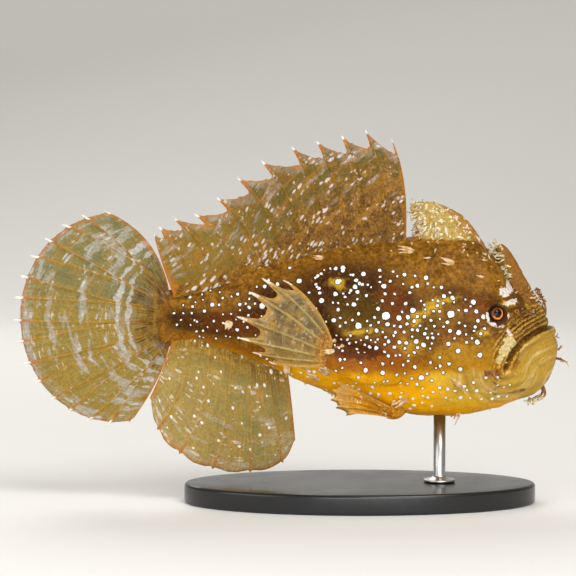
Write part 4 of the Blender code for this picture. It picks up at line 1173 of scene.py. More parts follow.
finPaint = {
    # sheet and flesh: dark, middle and light tone; bands: distance from the root, half width, strength
    # blooms: strength, how far in from the edge, how patchy, how fine; stripes: colour, how far out, strength
    "dorsal": {
        "sheet": ("#575014", "#634d10", "#7b5610"), "flesh": ("#503004", "#6c4808", "#8a6218"),
        "ray": "#845610", "margin": "#b06a14", "streak": "#c8c1ba", "dot": "#d6cbb8",
        "bar": "#8c6218", "bloom": "#a7a3a0",
        "amber": "#856a20", "amberFrom": (30.0, 60.0), "rays": 0.4, "streaks": 0.75, "streakSize": (2.5, 1.3),
        "slant": 0.5, "dots": 0.5, "rootClear": (-1.0, 0.0), "bands": (), "bars": 0.75,
        "blooms": (0.45, 15.0, 0.56, 0.6), "stripes": ("#4e300a", 8.0, 0.4), "clusters": 0.535,
        "opacity": 0.95, "tipFrom": 1.6, "tip": "#e9e0d2", "rim": 1.2, "fibre": 0.35,
    },
    "tail": {
        "sheet": ("#706c40", "#7c703a", "#8a7030"), "flesh": ("#52340a", "#6b4812", "#87601e"),
        "ray": "#a0741e", "margin": "#ab6616", "streak": "#b6b3ae", "dot": "#e3ddd2",
        "bar": "#9c7826", "bloom": "#a9a69c", "amber": "#967a26", "amberFrom": (18.0, 34.0),
        "rays": 0.75, "streaks": 0.8, "streakSize": (4.6, 1.35),
        "slant": 0.0, "dots": 0.25, "rootClear": (12.5, 14.0), "bands": ((13.2, 0.6, 0.75), (10.6, 0.4, 0.6)),
        "bars": 0.4, "blooms": (0.65, 32.0, 0.5, 0.34), "stripes": ("#472806", 13.0, 0.95), "clusters": 0.53,
        "opacity": 0.86, "tipFrom": 2.3, "tip": "#efe7dc", "rim": 1.1, "fibre": 0.9,
    },
    "anal": {
        "sheet": ("#8a7c34", "#9a8030", "#ac8428"), "flesh": ("#745414", "#957420", "#ab8830"),
        "ray": "#aa7e28", "margin": "#ad6c18", "streak": "#c6c0b4", "dot": "#ece6dc",
        "bar": "#aa8430", "bloom": "#b3ad98",
        "amber": "#9a8030", "amberFrom": (14.0, 30.0), "rays": 0.5, "streaks": 0.7, "streakSize": (4.2, 1.3),
        "slant": 0.0, "dots": 0.95, "rootClear": (-1.0, 0.0), "bands": (), "bars": 0.4,
        "blooms": (0.5, 20.0, 0.54, 0.4), "stripes": ("#5f3e0e", 9.0, 0.7), "clusters": 0.53,
        "opacity": 0.8, "tipFrom": 0.5, "tip": "#d9b070", "rim": 1.5, "fibre": 0.5,
    },
    "hand": {
        "sheet": ("#5a4c34", "#78633a", "#a87e30"), "flesh": ("#704412", "#a06a22", "#c4903c"),
        "ray": "#b3a05c", "margin": "#bd8c34", "streak": "#bdb296", "dot": "#dcd3be",
        "bar": "#a5823e", "bloom": "#a39a80",
        "amber": "#9c7a38", "amberFrom": (12.0, 22.0), "rays": 0.6, "streaks": 0.4, "streakSize": (2.6, 1.1),
        "slant": 0.0, "dots": 0.3, "rootClear": (3.0, 4.0), "bands": (), "bars": 0.4,
        "blooms": (0.4, 15.0, 0.55, 0.6), "stripes": ("#5c3a14", 5.0, 0.4), "clusters": 0.51, "opacity": 0.82,
        "tipFrom": 3.0, "tip": "#e2d0bc", "rim": 2.4, "fibre": 0.6,
    },
    "pelvic": {
        "sheet": ("#b67a0e", "#c4860e", "#d29614"), "flesh": ("#925706", "#c07e0a", "#d29a2a"),
        "ray": "#a4600a", "margin": "#cfa04a", "streak": "#ead9b0", "dot": "#f0e6d0",
        "bar": "#b06c08", "bloom": "#d2ae68",
        "amber": "#cf8d14", "amberFrom": (4.0, 8.0), "rays": 0.75, "streaks": 0.5, "streakSize": (1.8, 0.8),
        "slant": 0.0, "dots": 0.3, "rootClear": (1.0, 2.0), "bands": (), "bars": 0.4,
        "blooms": (0.3, 15.0, 0.55, 0.6), "stripes": ("#8a4c06", 9.0, 0.7), "clusters": 0.56, "opacity": 0.9,
        "tipFrom": 0.7, "tip": "#e0c080", "rim": 1.3, "fibre": 0.6,
    },
}
finGrains = {
    # size in mm, detail, roughness, distortion
    "broad": (6.0, 4.0, 0.6, 0.0),
    "mottle": (1.8, 5.0, 0.65, 0.4),
    "fine": (0.6, 3.0, 0.7, 0.0),
}


def tintedFin(name, paint):
    # Clear polyester resin tinted amber and cast thin: light comes through the membrane, the rays are denser
    material, tree, coords = newMaterial(name)
    noises, masks = readings(tree, coords, finGrains, finMasks)
    broad, mottle, fine = (made.outputs["Fac"] for made in noises.values())
    ray, edge, along, across, tip, flesh, outer = masks.values()
    drawn = addNode(tree, "ShaderNodeMath", (along, 0.07), operation="MULTIPLY")
    sheet = addNode(tree, "ShaderNodeCombineXYZ", (across, drawn))
    fibres = addNode(tree, "ShaderNodeTexNoise", {
        "Vector": sheet, "Scale": 2.4, "Detail": 3.0, "Roughness": 0.6,
    }, noise_dimensions="2D").outputs["Fac"]
    under = grained(tree, broad, (mottle, 0.4))
    tones = list(zip((0.36, 0.52, 0.68), paint["sheet"]))
    layers = Painting(tree, addNode(tree, "ShaderNodeValToRGB", {"Fac": under}, tones).outputs[0])
    layers.coat(paint["amber"], across, *paint["amberFrom"], 0.7)
    rayCover = layers.coat(paint["ray"], ray, 0.15, 0.9, paint["rays"])
    pitted = grained(tree, mottle, (fine, 0.7))
    tones = list(zip((0.34, 0.5, 0.66), paint["flesh"]))
    fleshTone = addNode(tree, "ShaderNodeValToRGB", {"Fac": pitted}, tones).outputs[0]
    fleshCover = layers.coat(fleshTone, flesh, 0.0, 0.6, 1.0, (mottle, 1.1), (fibres, paint["fibre"]))
    # brown stripes that run out of the flesh along the rays
    stripe, reach, strength = paint["stripes"]
    nearRoot = wornMask(tree, along, reach, reach * 0.5, strength, (broad, 4.0))
    stripeCover = layers.coat(stripe, fibres, 0.45, 0.58, nearRoot, (mottle, 0.2))
    # soft golden bars that slant across the rays, and a pale bloom in patches of the outer half
    slanted = addNode(tree, "ShaderNodeMath", (across, paint["slant"], along), operation="MULTIPLY_ADD")
    drift = addNode(tree, "ShaderNodeMath", (across, 0.22), operation="MULTIPLY")
    barred = addNode(tree, "ShaderNodeCombineXYZ", (drift, slanted))
    bars = addNode(tree, "ShaderNodeTexNoise", {
        "Vector": barred, "Scale": 0.42, "Detail": 4.0, "Roughness": 0.55,
    }, noise_dimensions="2D")
    layers.coat(paint["bar"], bars.outputs[0], 0.48, 0.66, paint["bars"], (fine, 0.12))
    strength, inwards, patchy, bloomScale = paint["blooms"]
    blooms = addNode(tree, "ShaderNodeTexNoise", {
        "Vector": barred, "Scale": bloomScale, "Detail": 4.0, "Roughness": 0.6,
    }, noise_dimensions="2D")
    outerPart = wornMask(tree, edge, inwards, inwards * 0.6, strength)
    layers.coat(paint["bloom"], blooms.outputs[0], patchy, patchy + 0.14, outerPart, (mottle, 0.2))
    # streaks across the rays, in loose clusters, and round dots
    wide, high = paint["streakSize"]
    slower = addNode(tree, "ShaderNodeMath", (along, 0.9), operation="MULTIPLY")
    swing = addNode(tree, "ShaderNodeMath", (slower,), operation="SINE")
    banded = addNode(tree, "ShaderNodeMath", (swing, 0.07, broad), operation="MULTIPLY_ADD")
    solid = [rayCover, fleshCover, stripeCover]
    for paintName, stepAcross, stepAlong, small, large, gate, strength in (
        ("streak", wide, high, 0.0, 0.36, paint["clusters"], paint["streaks"]),
        ("dot", 2.6, 2.6, -0.12, 0.17, 0.42, paint["dots"]),
    ):
        u = addNode(tree, "ShaderNodeMath", (across, stepAcross), operation="DIVIDE")
        v = addNode(tree, "ShaderNodeMath", (slanted, stepAlong), operation="DIVIDE")
        place = addNode(tree, "ShaderNodeCombineXYZ", (u, v))
        cells = addNode(tree, "ShaderNodeTexVoronoi",
                        {"Vector": place, "Scale": 1.0, "Randomness": 0.9}, voronoi_dimensions="2D")
        draw = addNode(tree, "ShaderNodeSeparateColor", (cells.outputs["Color"],))
        size = addNode(tree, "ShaderNodeMapRange", {"Value": draw, "To Min": small, "To Max": large})
        clear = addNode(tree, "ShaderNodeMath", (cells.outputs["Distance"], size), operation="SUBTRACT")
        clearOfRoot = wornMask(tree, along, *paint["rootClear"], strength)
        cluster = wornMask(tree, banded.outputs[0], gate - 0.02, gate + 0.05, clearOfRoot, (mottle, 0.25))
        solid.append(layers.coat(paint[paintName], clear.outputs[0], 0.04, -0.04, cluster, (fine, 0.25)))
    # pale bands across the whole fin, broken up by the noise
    for centre, half, strength in paint["bands"]:
        fromBand = addNode(tree, "ShaderNodeMath", (along, centre), operation="SUBTRACT")
        offBand = addNode(tree, "ShaderNodeMath", (fromBand,), operation="ABSOLUTE").outputs[0]
        grains = (mottle, 2.4), (broad, 3.0), (fibres, 1.0)
        solid.append(layers.coat(paint["streak"], offBand, half, half * 0.5, strength, *grains))
    # pale haze just inside the margin, orange at the margin itself and on the outermost rays
    layers.coat(paint["streak"], edge, 3.4, 1.6, 0.14, (mottle, 5.0))
    rim = addNode(tree, "ShaderNodeMath", (edge, outer), operation="MINIMUM").outputs[0]
    solid.append(layers.coat(paint["margin"], rim, paint["rim"], 0.1, 0.6, (mottle, 1.6), (broad, 5.0)))
    nearTip = wornMask(tree, tip, 6.5, 3.0, 0.8, (broad, 4.0))
    layers.coat(paint["margin"], ray, 0.15, 0.6, nearTip)
    whiteTip = wornMask(tree, tip, paint["tipFrom"], paint["tipFrom"] - 0.6, 0.95)
    solid.append(layers.coat(paint["tip"], ray, 0.15, 0.6, whiteTip))
    speckled = grained(tree, fine, (fibres, 0.5))
    shade = addNode(tree, "ShaderNodeMapRange",
                    {"Value": speckled, "From Min": 0.3, "From Max": 0.7, "To Min": 0.7, "To Max": 1.26})
    shaded = addNode(tree, "ShaderNodeVectorMath", {0: layers.colour, "Scale": shade}, operation="SCALE")
    layers.colour = shaded.outputs[0]
    dense = solid[0]
    for cover in solid[1:]:
        dense = addNode(tree, "ShaderNodeMath", (dense, cover), operation="MAXIMUM")
    alpha = addNode(tree, "ShaderNodeMapRange", {"Value": dense, "To Min": paint["opacity"], "To Max": 0.98})
    bump = addNode(tree, "ShaderNodeBump", {"Strength": 0.35, "Distance": 0.0001, "Height": pitted})
    shader = addNode(tree, "ShaderNodeBsdfPrincipled", {
        "Base Color": layers.colour, "Alpha": alpha, "Normal": bump, "Roughness": 0.42, "IOR": 1.4,
        "Specular IOR Level": 0.2, "Subsurface Weight": 0.12, "Subsurface Scale": 0.001,
        "Subsurface Radius": (0.5, 0.4, 0.25),
    })
    addNode(tree, "ShaderNodeOutputMaterial", {"Surface": shader})
    return material


# Eyes

def eyeMaterial():
    # Blown glass eye: black pupil in a broken ring of orange and gold, with painted shade over the ring's
    # upper, rear side, under a clear polished front
    material, tree, coords = newMaterial("paintedGlassEye")
    ring = addNode(tree, "ShaderNodeAttribute", attribute_name="fromAxis").outputs["Fac"]
    lit = addNode(tree, "ShaderNodeAttribute", attribute_name="frontLow").outputs["Fac"]
    cloud = addNode(tree, "ShaderNodeTexNoise", {"Vector": coords, "Scale": perMetre(1.4), "Detail": 2.0})
    fleck = addNode(tree, "ShaderNodeTexNoise", {"Vector": coords, "Scale": perMetre(0.45), "Detail": 3.0})
    uneven = addNode(tree, "ShaderNodeMath", (cloud, 0.2, ring), operation="MULTIPLY_ADD")
    ragged = addNode(tree, "ShaderNodeMath", (fleck, 0.12, uneven), operation="MULTIPLY_ADD")
    iris = addNode(tree, "ShaderNodeValToRGB", {"Fac": ragged}, (
        (0.0, "#040302"), (0.40, "#060403"), (0.44, "#8f3c08"), (0.49, "#d9781a"), (0.56, "#e39a3a"),
        (0.62, "#8a420e"), (0.68, "#24110a"), (1.0, "#160c07"),
    ))
    layers = Painting(tree, iris.outputs[0])
    # painted shade: darkens the iris away from its low front side
    layers.coat("#140a06", lit, 0.62, 0.16, 0.85, (cloud.outputs[0], 0.9))
    shader = addNode(tree, "ShaderNodeBsdfPrincipled", {
        "Base Color": layers.colour, "Roughness": 0.06, "IOR": 1.45,
        "Specular IOR Level": 0.2, "Coat Weight": 0.1, "Coat Roughness": 0.02,
    })
    addNode(tree, "ShaderNodeOutputMaterial", {"Surface": shader})
    return material


eyeShape = {
    "rows": 40, "points": 48,
    "cornea": 0.05, "corneaReach": 0.6,  # its bulge as a share of the radius, and its half width in radians
    "lowFront": (0.75, 0, -0.65),  # the side on which the iris stays bright
}


def makeEye(word, hit, material):
    place, normal = hit
    centre = place - normal * body["eyeSunk"]
    side = normal.cross(Vector((0, 0, 1))).normalized()
    across = normal.cross(side)
    rings, fromAxis = [], []
    rows, count, cornea = eyeShape["rows"], eyeShape["points"], eyeShape["cornea"]
    for i in range(1, rows):
        a = math.pi * i / rows
        radius = body["eyeRadius"] * (1 + cornea * math.exp(-(a / eyeShape["corneaReach"]) ** 2))
        wide = radius * math.sin(a)
        rings.append(oval(centre + normal * (radius * math.cos(a)), side, across, wide, wide, count))
        fromAxis += [a / math.pi * 2] * count
    lowFront, around = Vector(eyeShape["lowFront"]), oval(Vector(), side, across, 1, 1, count)
    frontLow = [0.5 + 0.5 * out.dot(lowFront) for out in around] * (rows - 1)
    points, faces = loft(rings)
    points[-2] = tuple(centre + normal * body["eyeRadius"] * (1 + cornea))
    points[-1] = tuple(centre - normal * body["eyeRadius"])
    mesh = meshFrom(f"eye{word}", points, faces)
    storeMask(mesh, "fromAxis", fromAxis + [0.0, 2.0])
    storeMask(mesh, "frontLow", frontLow + [0.5, 0.5])
    finished(f"eye{word}", mesh, material, (f"eye_{word.lower()}",))


# Skin flaps and filaments

leafShape = {
    "sunk": 0.6, "back": 0.3,  # start under the skin and behind the root
    "leastHalf": 0.07, "leastThick": 0.05,
    "root": 0.75, "swell": 0.6, "widest": 1.3, "thinner": 0.6,
}


def leaf(root, lean, normal, length, width, curl, thick=0.2, steps=9, count=8, lift=0.3):
    along = (lean + normal * lift).normalized()
    path = [root - normal * leafShape["sunk"] - along * leafShape["back"]]
    place = root.copy()
    for _ in range(steps):
        path.append(place.copy())
        along = (along + curl * (1.0 / steps)).normalized()
        place += along * (length / steps)
    path.append(place)
    sizes = []
    for i in range(len(path)):
        share = i / (len(path) - 1)
        swell = math.sin(math.pi * min(share * leafShape["widest"], 1.0))
        half = width * 0.5 * (leafShape["root"] + leafShape["swell"] * swell) * (1 - share ** 3)
        thin = thick * (1 - leafShape["thinner"] * share)
        sizes.append((half + leafShape["leastHalf"], thin + leafShape["leastThick"]))
    side = along.cross(normal)
    if side.length < 0.1:
        side = along.cross(Vector((0, 1, 0)))
    return tube(path, sizes, side.normalized(), count)


flaps = {
    # x, z, length, width, lean forwards, lean upwards, curl upwards, lobes
    "pale": (
        (-9.5, 61.5, 3.2, 0.9, -1.0, -0.1, 0.3, 2), (22.8, 60.4, 4.2, 0.9, -1.0, 0.08, 0.2, 3),
        (12.8, 63.2, 3.6, 0.9, -1.0, 0.25, -0.3, 3), (-32.5, 45.6, 2.4, 1.5, -0.3, -1.0, 0.2, 2),
        (24.5, 30.2, 3.6, 1.5, -0.8, 0.6, 0.3, 1), (-18.5, 34.8, 3.0, 1.4, 0.2, -1.0, 0.2, 2),
        (11.0, 26.6, 3.4, 1.5, -0.8, -0.6, 0.4, 2), (-8.0, 33.0, 3.4, 1.6, -0.9, 0.4, 0.2, 2),
        (-3.0, 28.2, 3.6, 1.5, -1.0, 0.2, 0.3, 2), (24.6, 22.6, 2.8, 1.8, -0.6, -1.0, 0.2, 2),
        (6.0, 24.6, 3.0, 1.4, -1.0, -0.3, 0.2, 2), (30.0, 57.0, 2.4, 0.6, -1.0, 0.1, 0.2, 1),
        (-6.4, 41.4, 2.6, 0.9, -0.6, -0.6, 0.5, 2), (-4.6, 40.6, 2.6, 0.9, -0.7, -0.5, 0.6, 2),
        (-7.0, 39.4, 2.4, 0.9, -0.9, -0.3, 0.5, 2), (-13.0, 34.0, 4.0, 1.2, -1.0, 0.5, -0.2, 1),
        (-10.5, 31.4, 3.4, 1.2, -1.0, 0.4, 0.1, 2), (17.0, 61.6, 1.6, 0.4, -1.0, -0.2, 0.1, 1),
    ),
    "brown": (
        (30.6, 34.2, 3.4, 1.2, 0.4, -1.0, -0.1, 1), (32.0, 34.2, 3.2, 1.1, 0.5, -1.0, 0.1, 1),
        (33.4, 34.2, 2.6, 1.0, 0.7, -1.0, 0.1, 1), (40.5, 29.0, 4.4, 1.0, -1.0, -0.15, 0.1, 1),
    ),
}


flapDraw = {
    "fan": 0.16, "apart": 1.6,  # how far the lobes turn and stand apart
    "out": 0.12, "slimmer": 0.75, "length": (0.6, 1.1), "lift": (0.0, 0.16), "midline": (1.2, 4.0),
}


def makeFlaps(name, rows, surface, material, seed):
    draw = random.Random(seed)
    shells = []
    for side in sides.values():
        for x, z, length, width, forwards, upwards, curl, lobes in rows:
            found = surface.hit(x, z, side)
            if found is None:  # above or below the outline, so the nearest skin is taken
                found = surface.near((x, side * draw.uniform(*flapDraw["midline"]), z))
            place, normal = found
            for k in range(lobes):
                spread = (k - (lobes - 1) / 2) * flapDraw["fan"]
                leanX, leanZ = forwards - upwards * spread, upwards + forwards * spread
                lean = Vector((leanX, side * flapDraw["out"], leanZ)).normalized()
                start = place + Vector((-upwards, 0, forwards)) * (spread * width * flapDraw["apart"])
                long, wide = length * draw.uniform(*flapDraw["length"]), width * flapDraw["slimmer"]
                lift = draw.uniform(*flapDraw["lift"])
                shells.append(leaf(start, lean, normal, long, wide, Vector((0, 0, curl)), lift=lift))
    fromShells(name, shells, material)


fringe = {
    # x, z, how many, spread in mm, lean forwards, upwards, length, width
    "thirdSpine": (
        (14.6, 74.4, 20, 2.6, -0.9, 0.3, 2.0, 0.5), (13.8, 71.5, 20, 2.2, -1.0, -0.1, 2.0, 0.5),
        (14.8, 68.4, 20, 2.0, -0.8, -0.7, 2.1, 0.5), (18.6, 66.9, 20, 4.0, -0.3, -1.0, 1.6, 0.45),
        (20.0, 71.0, 24, 5.0, -0.8, -0.4, 1.2, 0.5), (18.0, 74.6, 12, 3.4, -0.8, 0.5, 1.1, 0.45),
        (27.0, 66.6, 12, 3.4, -0.6, -0.8, 1.3, 0.3),
    ),
    "secondSpine": (
        (34.2, 64.0, 18, 1.6, -0.8, 0.4, 2.4, 0.24), (34.8, 61.6, 22, 1.6, -1.0, 0.0, 3.4, 0.26),
        (35.6, 59.0, 34, 1.8, -1.0, -0.15, 3.2, 0.28), (36.6, 56.4, 26, 1.6, -1.0, -0.2, 2.6, 0.28),
        (32.0, 62.6, 14, 2.2, -0.8, 0.4, 1.6, 0.26), (44.6, 49.8, 14, 1.8, 0.6, 0.5, 1.2, 0.32),
        (42.4, 52.6, 10, 1.8, 0.7, 0.5, 0.9, 0.3),
    ),
}


fringeDraw = {
    "stray": 0.4, "sway": 0.3, "out": (0.0, 0.4), "length": (0.45, 1.15), "width": (0.5, 1.2),
    "curl": (-0.9, 0.6), "lift": (0.0, 0.25), "thick": 0.1, "inwards": 0.02,
}


def makeFringe(surface, material, seed):
    draw = random.Random(seed)
    shells = []
    for rows in fringe.values():
        for x, z, count, spread, forwards, upwards, length, width in rows:
            stray, sway = spread * fringeDraw["stray"], fringeDraw["sway"]
            for _ in range(count):
                side = draw.choice((-1, 1))
                found = None
                while found is None:
                    strayX, strayZ = draw.gauss(0, stray), draw.gauss(0, stray)
                    found = surface.hit(x + strayX, z + strayZ, side)
                    x += fringeDraw["inwards"] * (1 if forwards < 0 else -1)
                place, normal = found
                leanX = forwards + draw.gauss(0, sway)
                leanY = side * draw.uniform(*fringeDraw["out"])
                leanZ = upwards + draw.gauss(0, sway)
                lean = Vector((leanX, leanY, leanZ)).normalized()
                long = length * draw.uniform(*fringeDraw["length"])
                wide = width * draw.uniform(*fringeDraw["width"])
                curl = Vector((0, 0, draw.uniform(*fringeDraw["curl"])))
                lift = draw.uniform(*fringeDraw["lift"])
                shells.append(leaf(place, lean, normal, long, wide, curl, fringeDraw["thick"],
                                   steps=6, count=6, lift=lift))
    fromShells("spineFringe", shells, material)


# Barbels, nostrils and gill openings

barbels = {
    # start, bend and end of the curve, thickness, beads along it
    "front": ((48.6, 0, 36.2), (50.6, 0, 36.0), (51.9, 0, 35.0), 0.42, 1),
    "upper": ((48.9, 0, 38.4), (50.0, 0, 38.4), (50.7, 0, 39.0), 0.24, 1),
    "lip": ((48.4, 0, 41.0), (49.2, 0, 41.4), (49.5, 0, 42.4), 0.2, 1),
}
barbelTips = {
    "forkUp": ((51.4, 0, 35.2), (52.1, 0, 35.1), (52.5, 0, 35.7), 0.17, 0),
    "forkDown": ((51.4, 0, 35.2), (52.0, 0, 34.7), (52.4, 0, 34.0), 0.17, 0),
    "upperTip": ((50.3, 0, 38.8), (50.7, 0, 39.1), (50.9, 0, 39.7), 0.14, 0),
}
chinBarbels = {"curl": ((45.0, -2.6, 30.2), (47.8, -2.9, 26.4), (43.4, -3.0, 25.7), 0.44, 0)}
chinTips = {"curlTip": ((44.6, -3.0, 26.2), (43.1, -3.0, 25.4), (41.7, -3.0, 25.0), 0.32, 5)}
barbelShape = {
    "steps": 24, "points": 10,
    "sunk": 1.2, "thinner": 0.65,  # the root lies under the skin, and the tip is thinner
    "beadsFrom": 4, "beadsOver": 20,  # steps of the curve that carry beads
}
barbelFrill = {"rise": (-0.4, 0.8), "length": (0.4, 0.8), "width": 0.3, "curl": -0.3, "thick": 0.1}


def frill(draw, place, style):  # a short filament that stands out at random
    lean = Vector((draw.gauss(0, 1), draw.gauss(0, 1), draw.gauss(*style["rise"]))).normalized()
    length, curl = draw.uniform(*style["length"]), Vector((0, 0, style["curl"]))
    return leaf(place, lean, lean, length, style["width"], curl, style["thick"], steps=5, count=6, lift=0.0)


def barbelShells(rows, draw, side=-1):
    steps = barbelShape["steps"]
    shells = []
    for start, bend, end, thick, beads in rows.values():
        path = [bezier(*mirrored((start, bend, end), side), k / steps) for k in range(steps + 1)]
        path.insert(0, path[0] - (path[1] - path[0]).normalized() * barbelShape["sunk"])
        sizes = [(thick * (1 - barbelShape["thinner"] * k / (steps + 1)),) * 2 for k in range(steps + 2)]
        shells.append(tube(path, sizes, Vector((0, 1, 0)), barbelShape["points"]))
        for k in range(beads):
            step = barbelShape["beadsFrom"] + int(barbelShape["beadsOver"] * (k + 0.5) / beads)
            shells.append(frill(draw, path[step], barbelFrill))
    return shells


def makeBarbels(material, tipMaterial):
    draw = random.Random(21)
    for name, middle, paired, paint in (
        ("barbels", barbels, chinBarbels, material), ("barbelTips", barbelTips, chinTips, tipMaterial),
    ):
        shells = barbelShells(middle, draw)
        for side in sides.values():
            shells += barbelShells(paired, draw, side)
        fromShells(name, shells, paint)


openings = {
    # x, z, radius, rim thickness
    "frontNostril": (41.4, 48.0, 0.62, 0.24),
    "rearNostril": (38.2, 48.4, 0.5, 0.22),
    "gillPore": (-10.5, 40.5, 0.8, 0.3),
}
openingShape = {
    "around": 32, "across": 12, "rimHeight": 0.12,
    # height over the skin and share of the radius, from the buried end to the bottom of the hollow
    "hollow": ((-0.5, 0.9), (0.14, 0.9), (0.08, 0.5), (0.02, 0.1)),
}


def makeOpenings(surface, rimMaterial, holeMaterial):
    rims, holes = [], []
    around, across = openingShape["around"], openingShape["across"]
    for side in sides.values():
        for x, z, radius, thick in openings.values():
            place, normal = surface.hit(x, z, side)
            first = normal.orthogonal().normalized()
            second = normal.cross(first)
            raised = place + normal * openingShape["rimHeight"]
            points, faces = [], []
            for i, out in enumerate(oval(Vector(), first, second, 1, 1, around)):
                points += oval(raised + out * radius, out, normal, thick, thick, across)
                for k in range(across):
                    j, n = (i + 1) % around, (k + 1) % across
                    faces.append((i * across + k, j * across + k, j * across + n, i * across + n))
            rims.append((points, faces))
            holes.append(loft([
                oval(place + normal * height, first, second, radius * share, radius * share, around)
                for height, share in openingShape["hollow"]
            ]))
    fromShells("openingRims", rims, rimMaterial)
    fromShells("openingHoles", holes, holeMaterial)


lure = {
    "curve": ((45.4, 0, 45.6), (48.0, 0, 48.0), (44.3, 0, 53.4)),
    "steps": 16, "points": 12, "thick": 0.3, "thinner": 0.006, "frills": 26,
}
lureFrill = {"rise": (0.3, 0.7), "length": (0.35, 0.75), "width": 0.26, "curl": 0.3, "thick": 0.12}


def makeLure(material):
    steps = lure["steps"]
    path = [bezier(*map(Vector, lure["curve"]), k / steps) for k in range(steps + 1)]
    sizes = [(lure["thick"] - lure["thinner"] * k,) * 2 for k in range(steps + 1)]
    draw = random.Random(5)
    shells = [tube(path, sizes, Vector((0, 1, 0)), lure["points"])]
    shells += [frill(draw, path[-1 - k // 4], lureFrill) for k in range(lure["frills"])]
    fromShells("lure", shells, material, ("illicium",))


def tagMaterial(name, light, dark, size=1.2):
    # Cast silicone off-cuts glued on and brushed with thin colour: pale, slightly clear and matt
    material, tree, coords = newMaterial(name)
    mottle = addNode(tree, "ShaderNodeTexNoise", {"Vector": coords, "Scale": perMetre(size), "Detail": 3.0})
    colour = addNode(tree, "ShaderNodeValToRGB", {"Fac": mottle}, ((0.38, dark), (0.6, light)))
    shader = addNode(tree, "ShaderNodeBsdfPrincipled", {
        "Base Color": colour, "Roughness": 0.5, "IOR": 1.42, "Specular IOR Level": 0.25,
        "Subsurface Weight": 0.3, "Subsurface Scale": 0.001,
    })
    addNode(tree, "ShaderNodeOutputMaterial", {"Surface": shader})
    return material


# Display stand

stand = {
    "length": 88.0, "depth": 50.0, "height": 5.0, "bevel": 0.8, "flatTop": 6.0, "baseColour": "#161618",
    "rodX": 20.0, "rodRadius": 1.5, "collarRadius": 4.0, "collarEdge": 0.3, "collarWall": 0.7, "flare": 1.2,
    "aboveBase": 0.06, "intoBelly": 0.5, "rodColour": "#b9b8b4",
    "curveSteps": 10, "basePoints": 192, "rodPoints": 64,
}


def acrylicSheet():
    # Black acrylic sheet, laser cut, with a flame-polished rounded edge: deep gloss with faint dust haze
    material, tree, coords = newMaterial("blackAcrylicSheet")
    haze = addNode(tree, "ShaderNodeTexNoise", {"Vector": coords, "Scale": perMetre(9.0), "Detail": 5.0})
    rough = addNode(tree, "ShaderNodeMapRange", {"Value": haze, "To Min": 0.12, "To Max": 0.34})
    shader = addNode(tree, "ShaderNodeBsdfPrincipled", {
        "Base Color": toLinear(stand["baseColour"]), "Roughness": rough, "IOR": 1.49,
    })
    addNode(tree, "ShaderNodeOutputMaterial", {"Surface": shader})
    return material


def brushedSteel():
    # Drawn stainless rod, lightly brushed round its length: fine rings of soft light
    material, tree, coords = newMaterial("brushedStainlessRod")
    drawn = addNode(tree, "ShaderNodeMapping", {"Vector": coords, "Scale": (1, 1, 14)})
    lines = addNode(tree, "ShaderNodeTexNoise", {"Vector": drawn, "Scale": perMetre(3.0), "Detail": 4.0})
    rough = addNode(tree, "ShaderNodeMapRange", {"Value": lines, "To Min": 0.2, "To Max": 0.42})
    shader = addNode(tree, "ShaderNodeBsdfPrincipled", {
        "Base Color": toLinear(stand["rodColour"]), "Metallic": 1.0, "Roughness": rough,
    })
    addNode(tree, "ShaderNodeOutputMaterial", {"Surface": shader})
    return material


def flatRing(x, z, wide, deep, count):
    return oval(Vector((x, 0, z)), Vector((1, 0, 0)), Vector((0, 1, 0)), wide, deep, count)


def makeBase():
    bevel, high = stand["bevel"], stand["height"]
    curve = quarter(stand["curveSteps"])
    profile = [(bevel * (1 - math.sin(a)), bevel * (1 - math.cos(a))) for a in curve]
    profile += [(bevel * (1 - math.cos(a)), high - bevel * (1 - math.sin(a))) for a in curve]
    profile += [(bevel + stand["flatTop"], high)]
    wide, deep = stand["length"] / 2, stand["depth"] / 2
    rings = [flatRing(0, z, wide - inset, deep - inset, stand["basePoints"]) for inset, z in profile]
    fromShells("standBase", [loft(rings)], acrylicSheet(), ("stand_base",))


def makeRod():
    thin, wide, edge = stand["rodRadius"], stand["collarRadius"], stand["collarEdge"]
    foot = stand["height"] + stand["aboveBase"]
    wall = foot + stand["collarWall"]
    profile = [(wide - edge, foot), (wide, foot + edge), (wide, wall)]
    for a in quarter(stand["curveSteps"])[1:]:
        profile.append((thin + (wide - thin) * (1 - math.sin(a)), wall + stand["flare"] * (1 - math.cos(a))))
    profile.append((thin, profileHeight(stand["rodX"], 2) + stand["intoBelly"]))
    rings = [flatRing(stand["rodX"], z, radius, radius, stand["rodPoints"]) for radius, z in profile]
    fromShells("standRod", [loft(rings)], brushedSteel(), ("stand_rod",))


# Room: pale floor, soft light and the camera

room = {
    "distance": 600.0, "elevation": 3.0, "frameWidth": 144.0, "target": (-18.0, 0.0, 53.75),
    "paper": "#e4e2dd", "air": "#f3f1ee", "airStrength": 0.42,
    # front, where the paper curves up, radius of the curve, top, half width
    "sweep": (-1500.0, 700.0, 400.0, 2200.0, 2200.0), "sweepSteps": 9,
    # place in metres, size, watts
    "lamps": {
        "keyLight": ((0.25, -0.55, 0.75), 0.45, 4.7),
        "fillLight": ((-0.7, -0.5, 0.35), 0.6, 2.3),
        "rimLight": ((-0.2, 0.6, 0.6), 0.5, 3.0),
        "lowLight": ((0.05, -0.45, 0.02), 0.4, 2.2),
    },
}


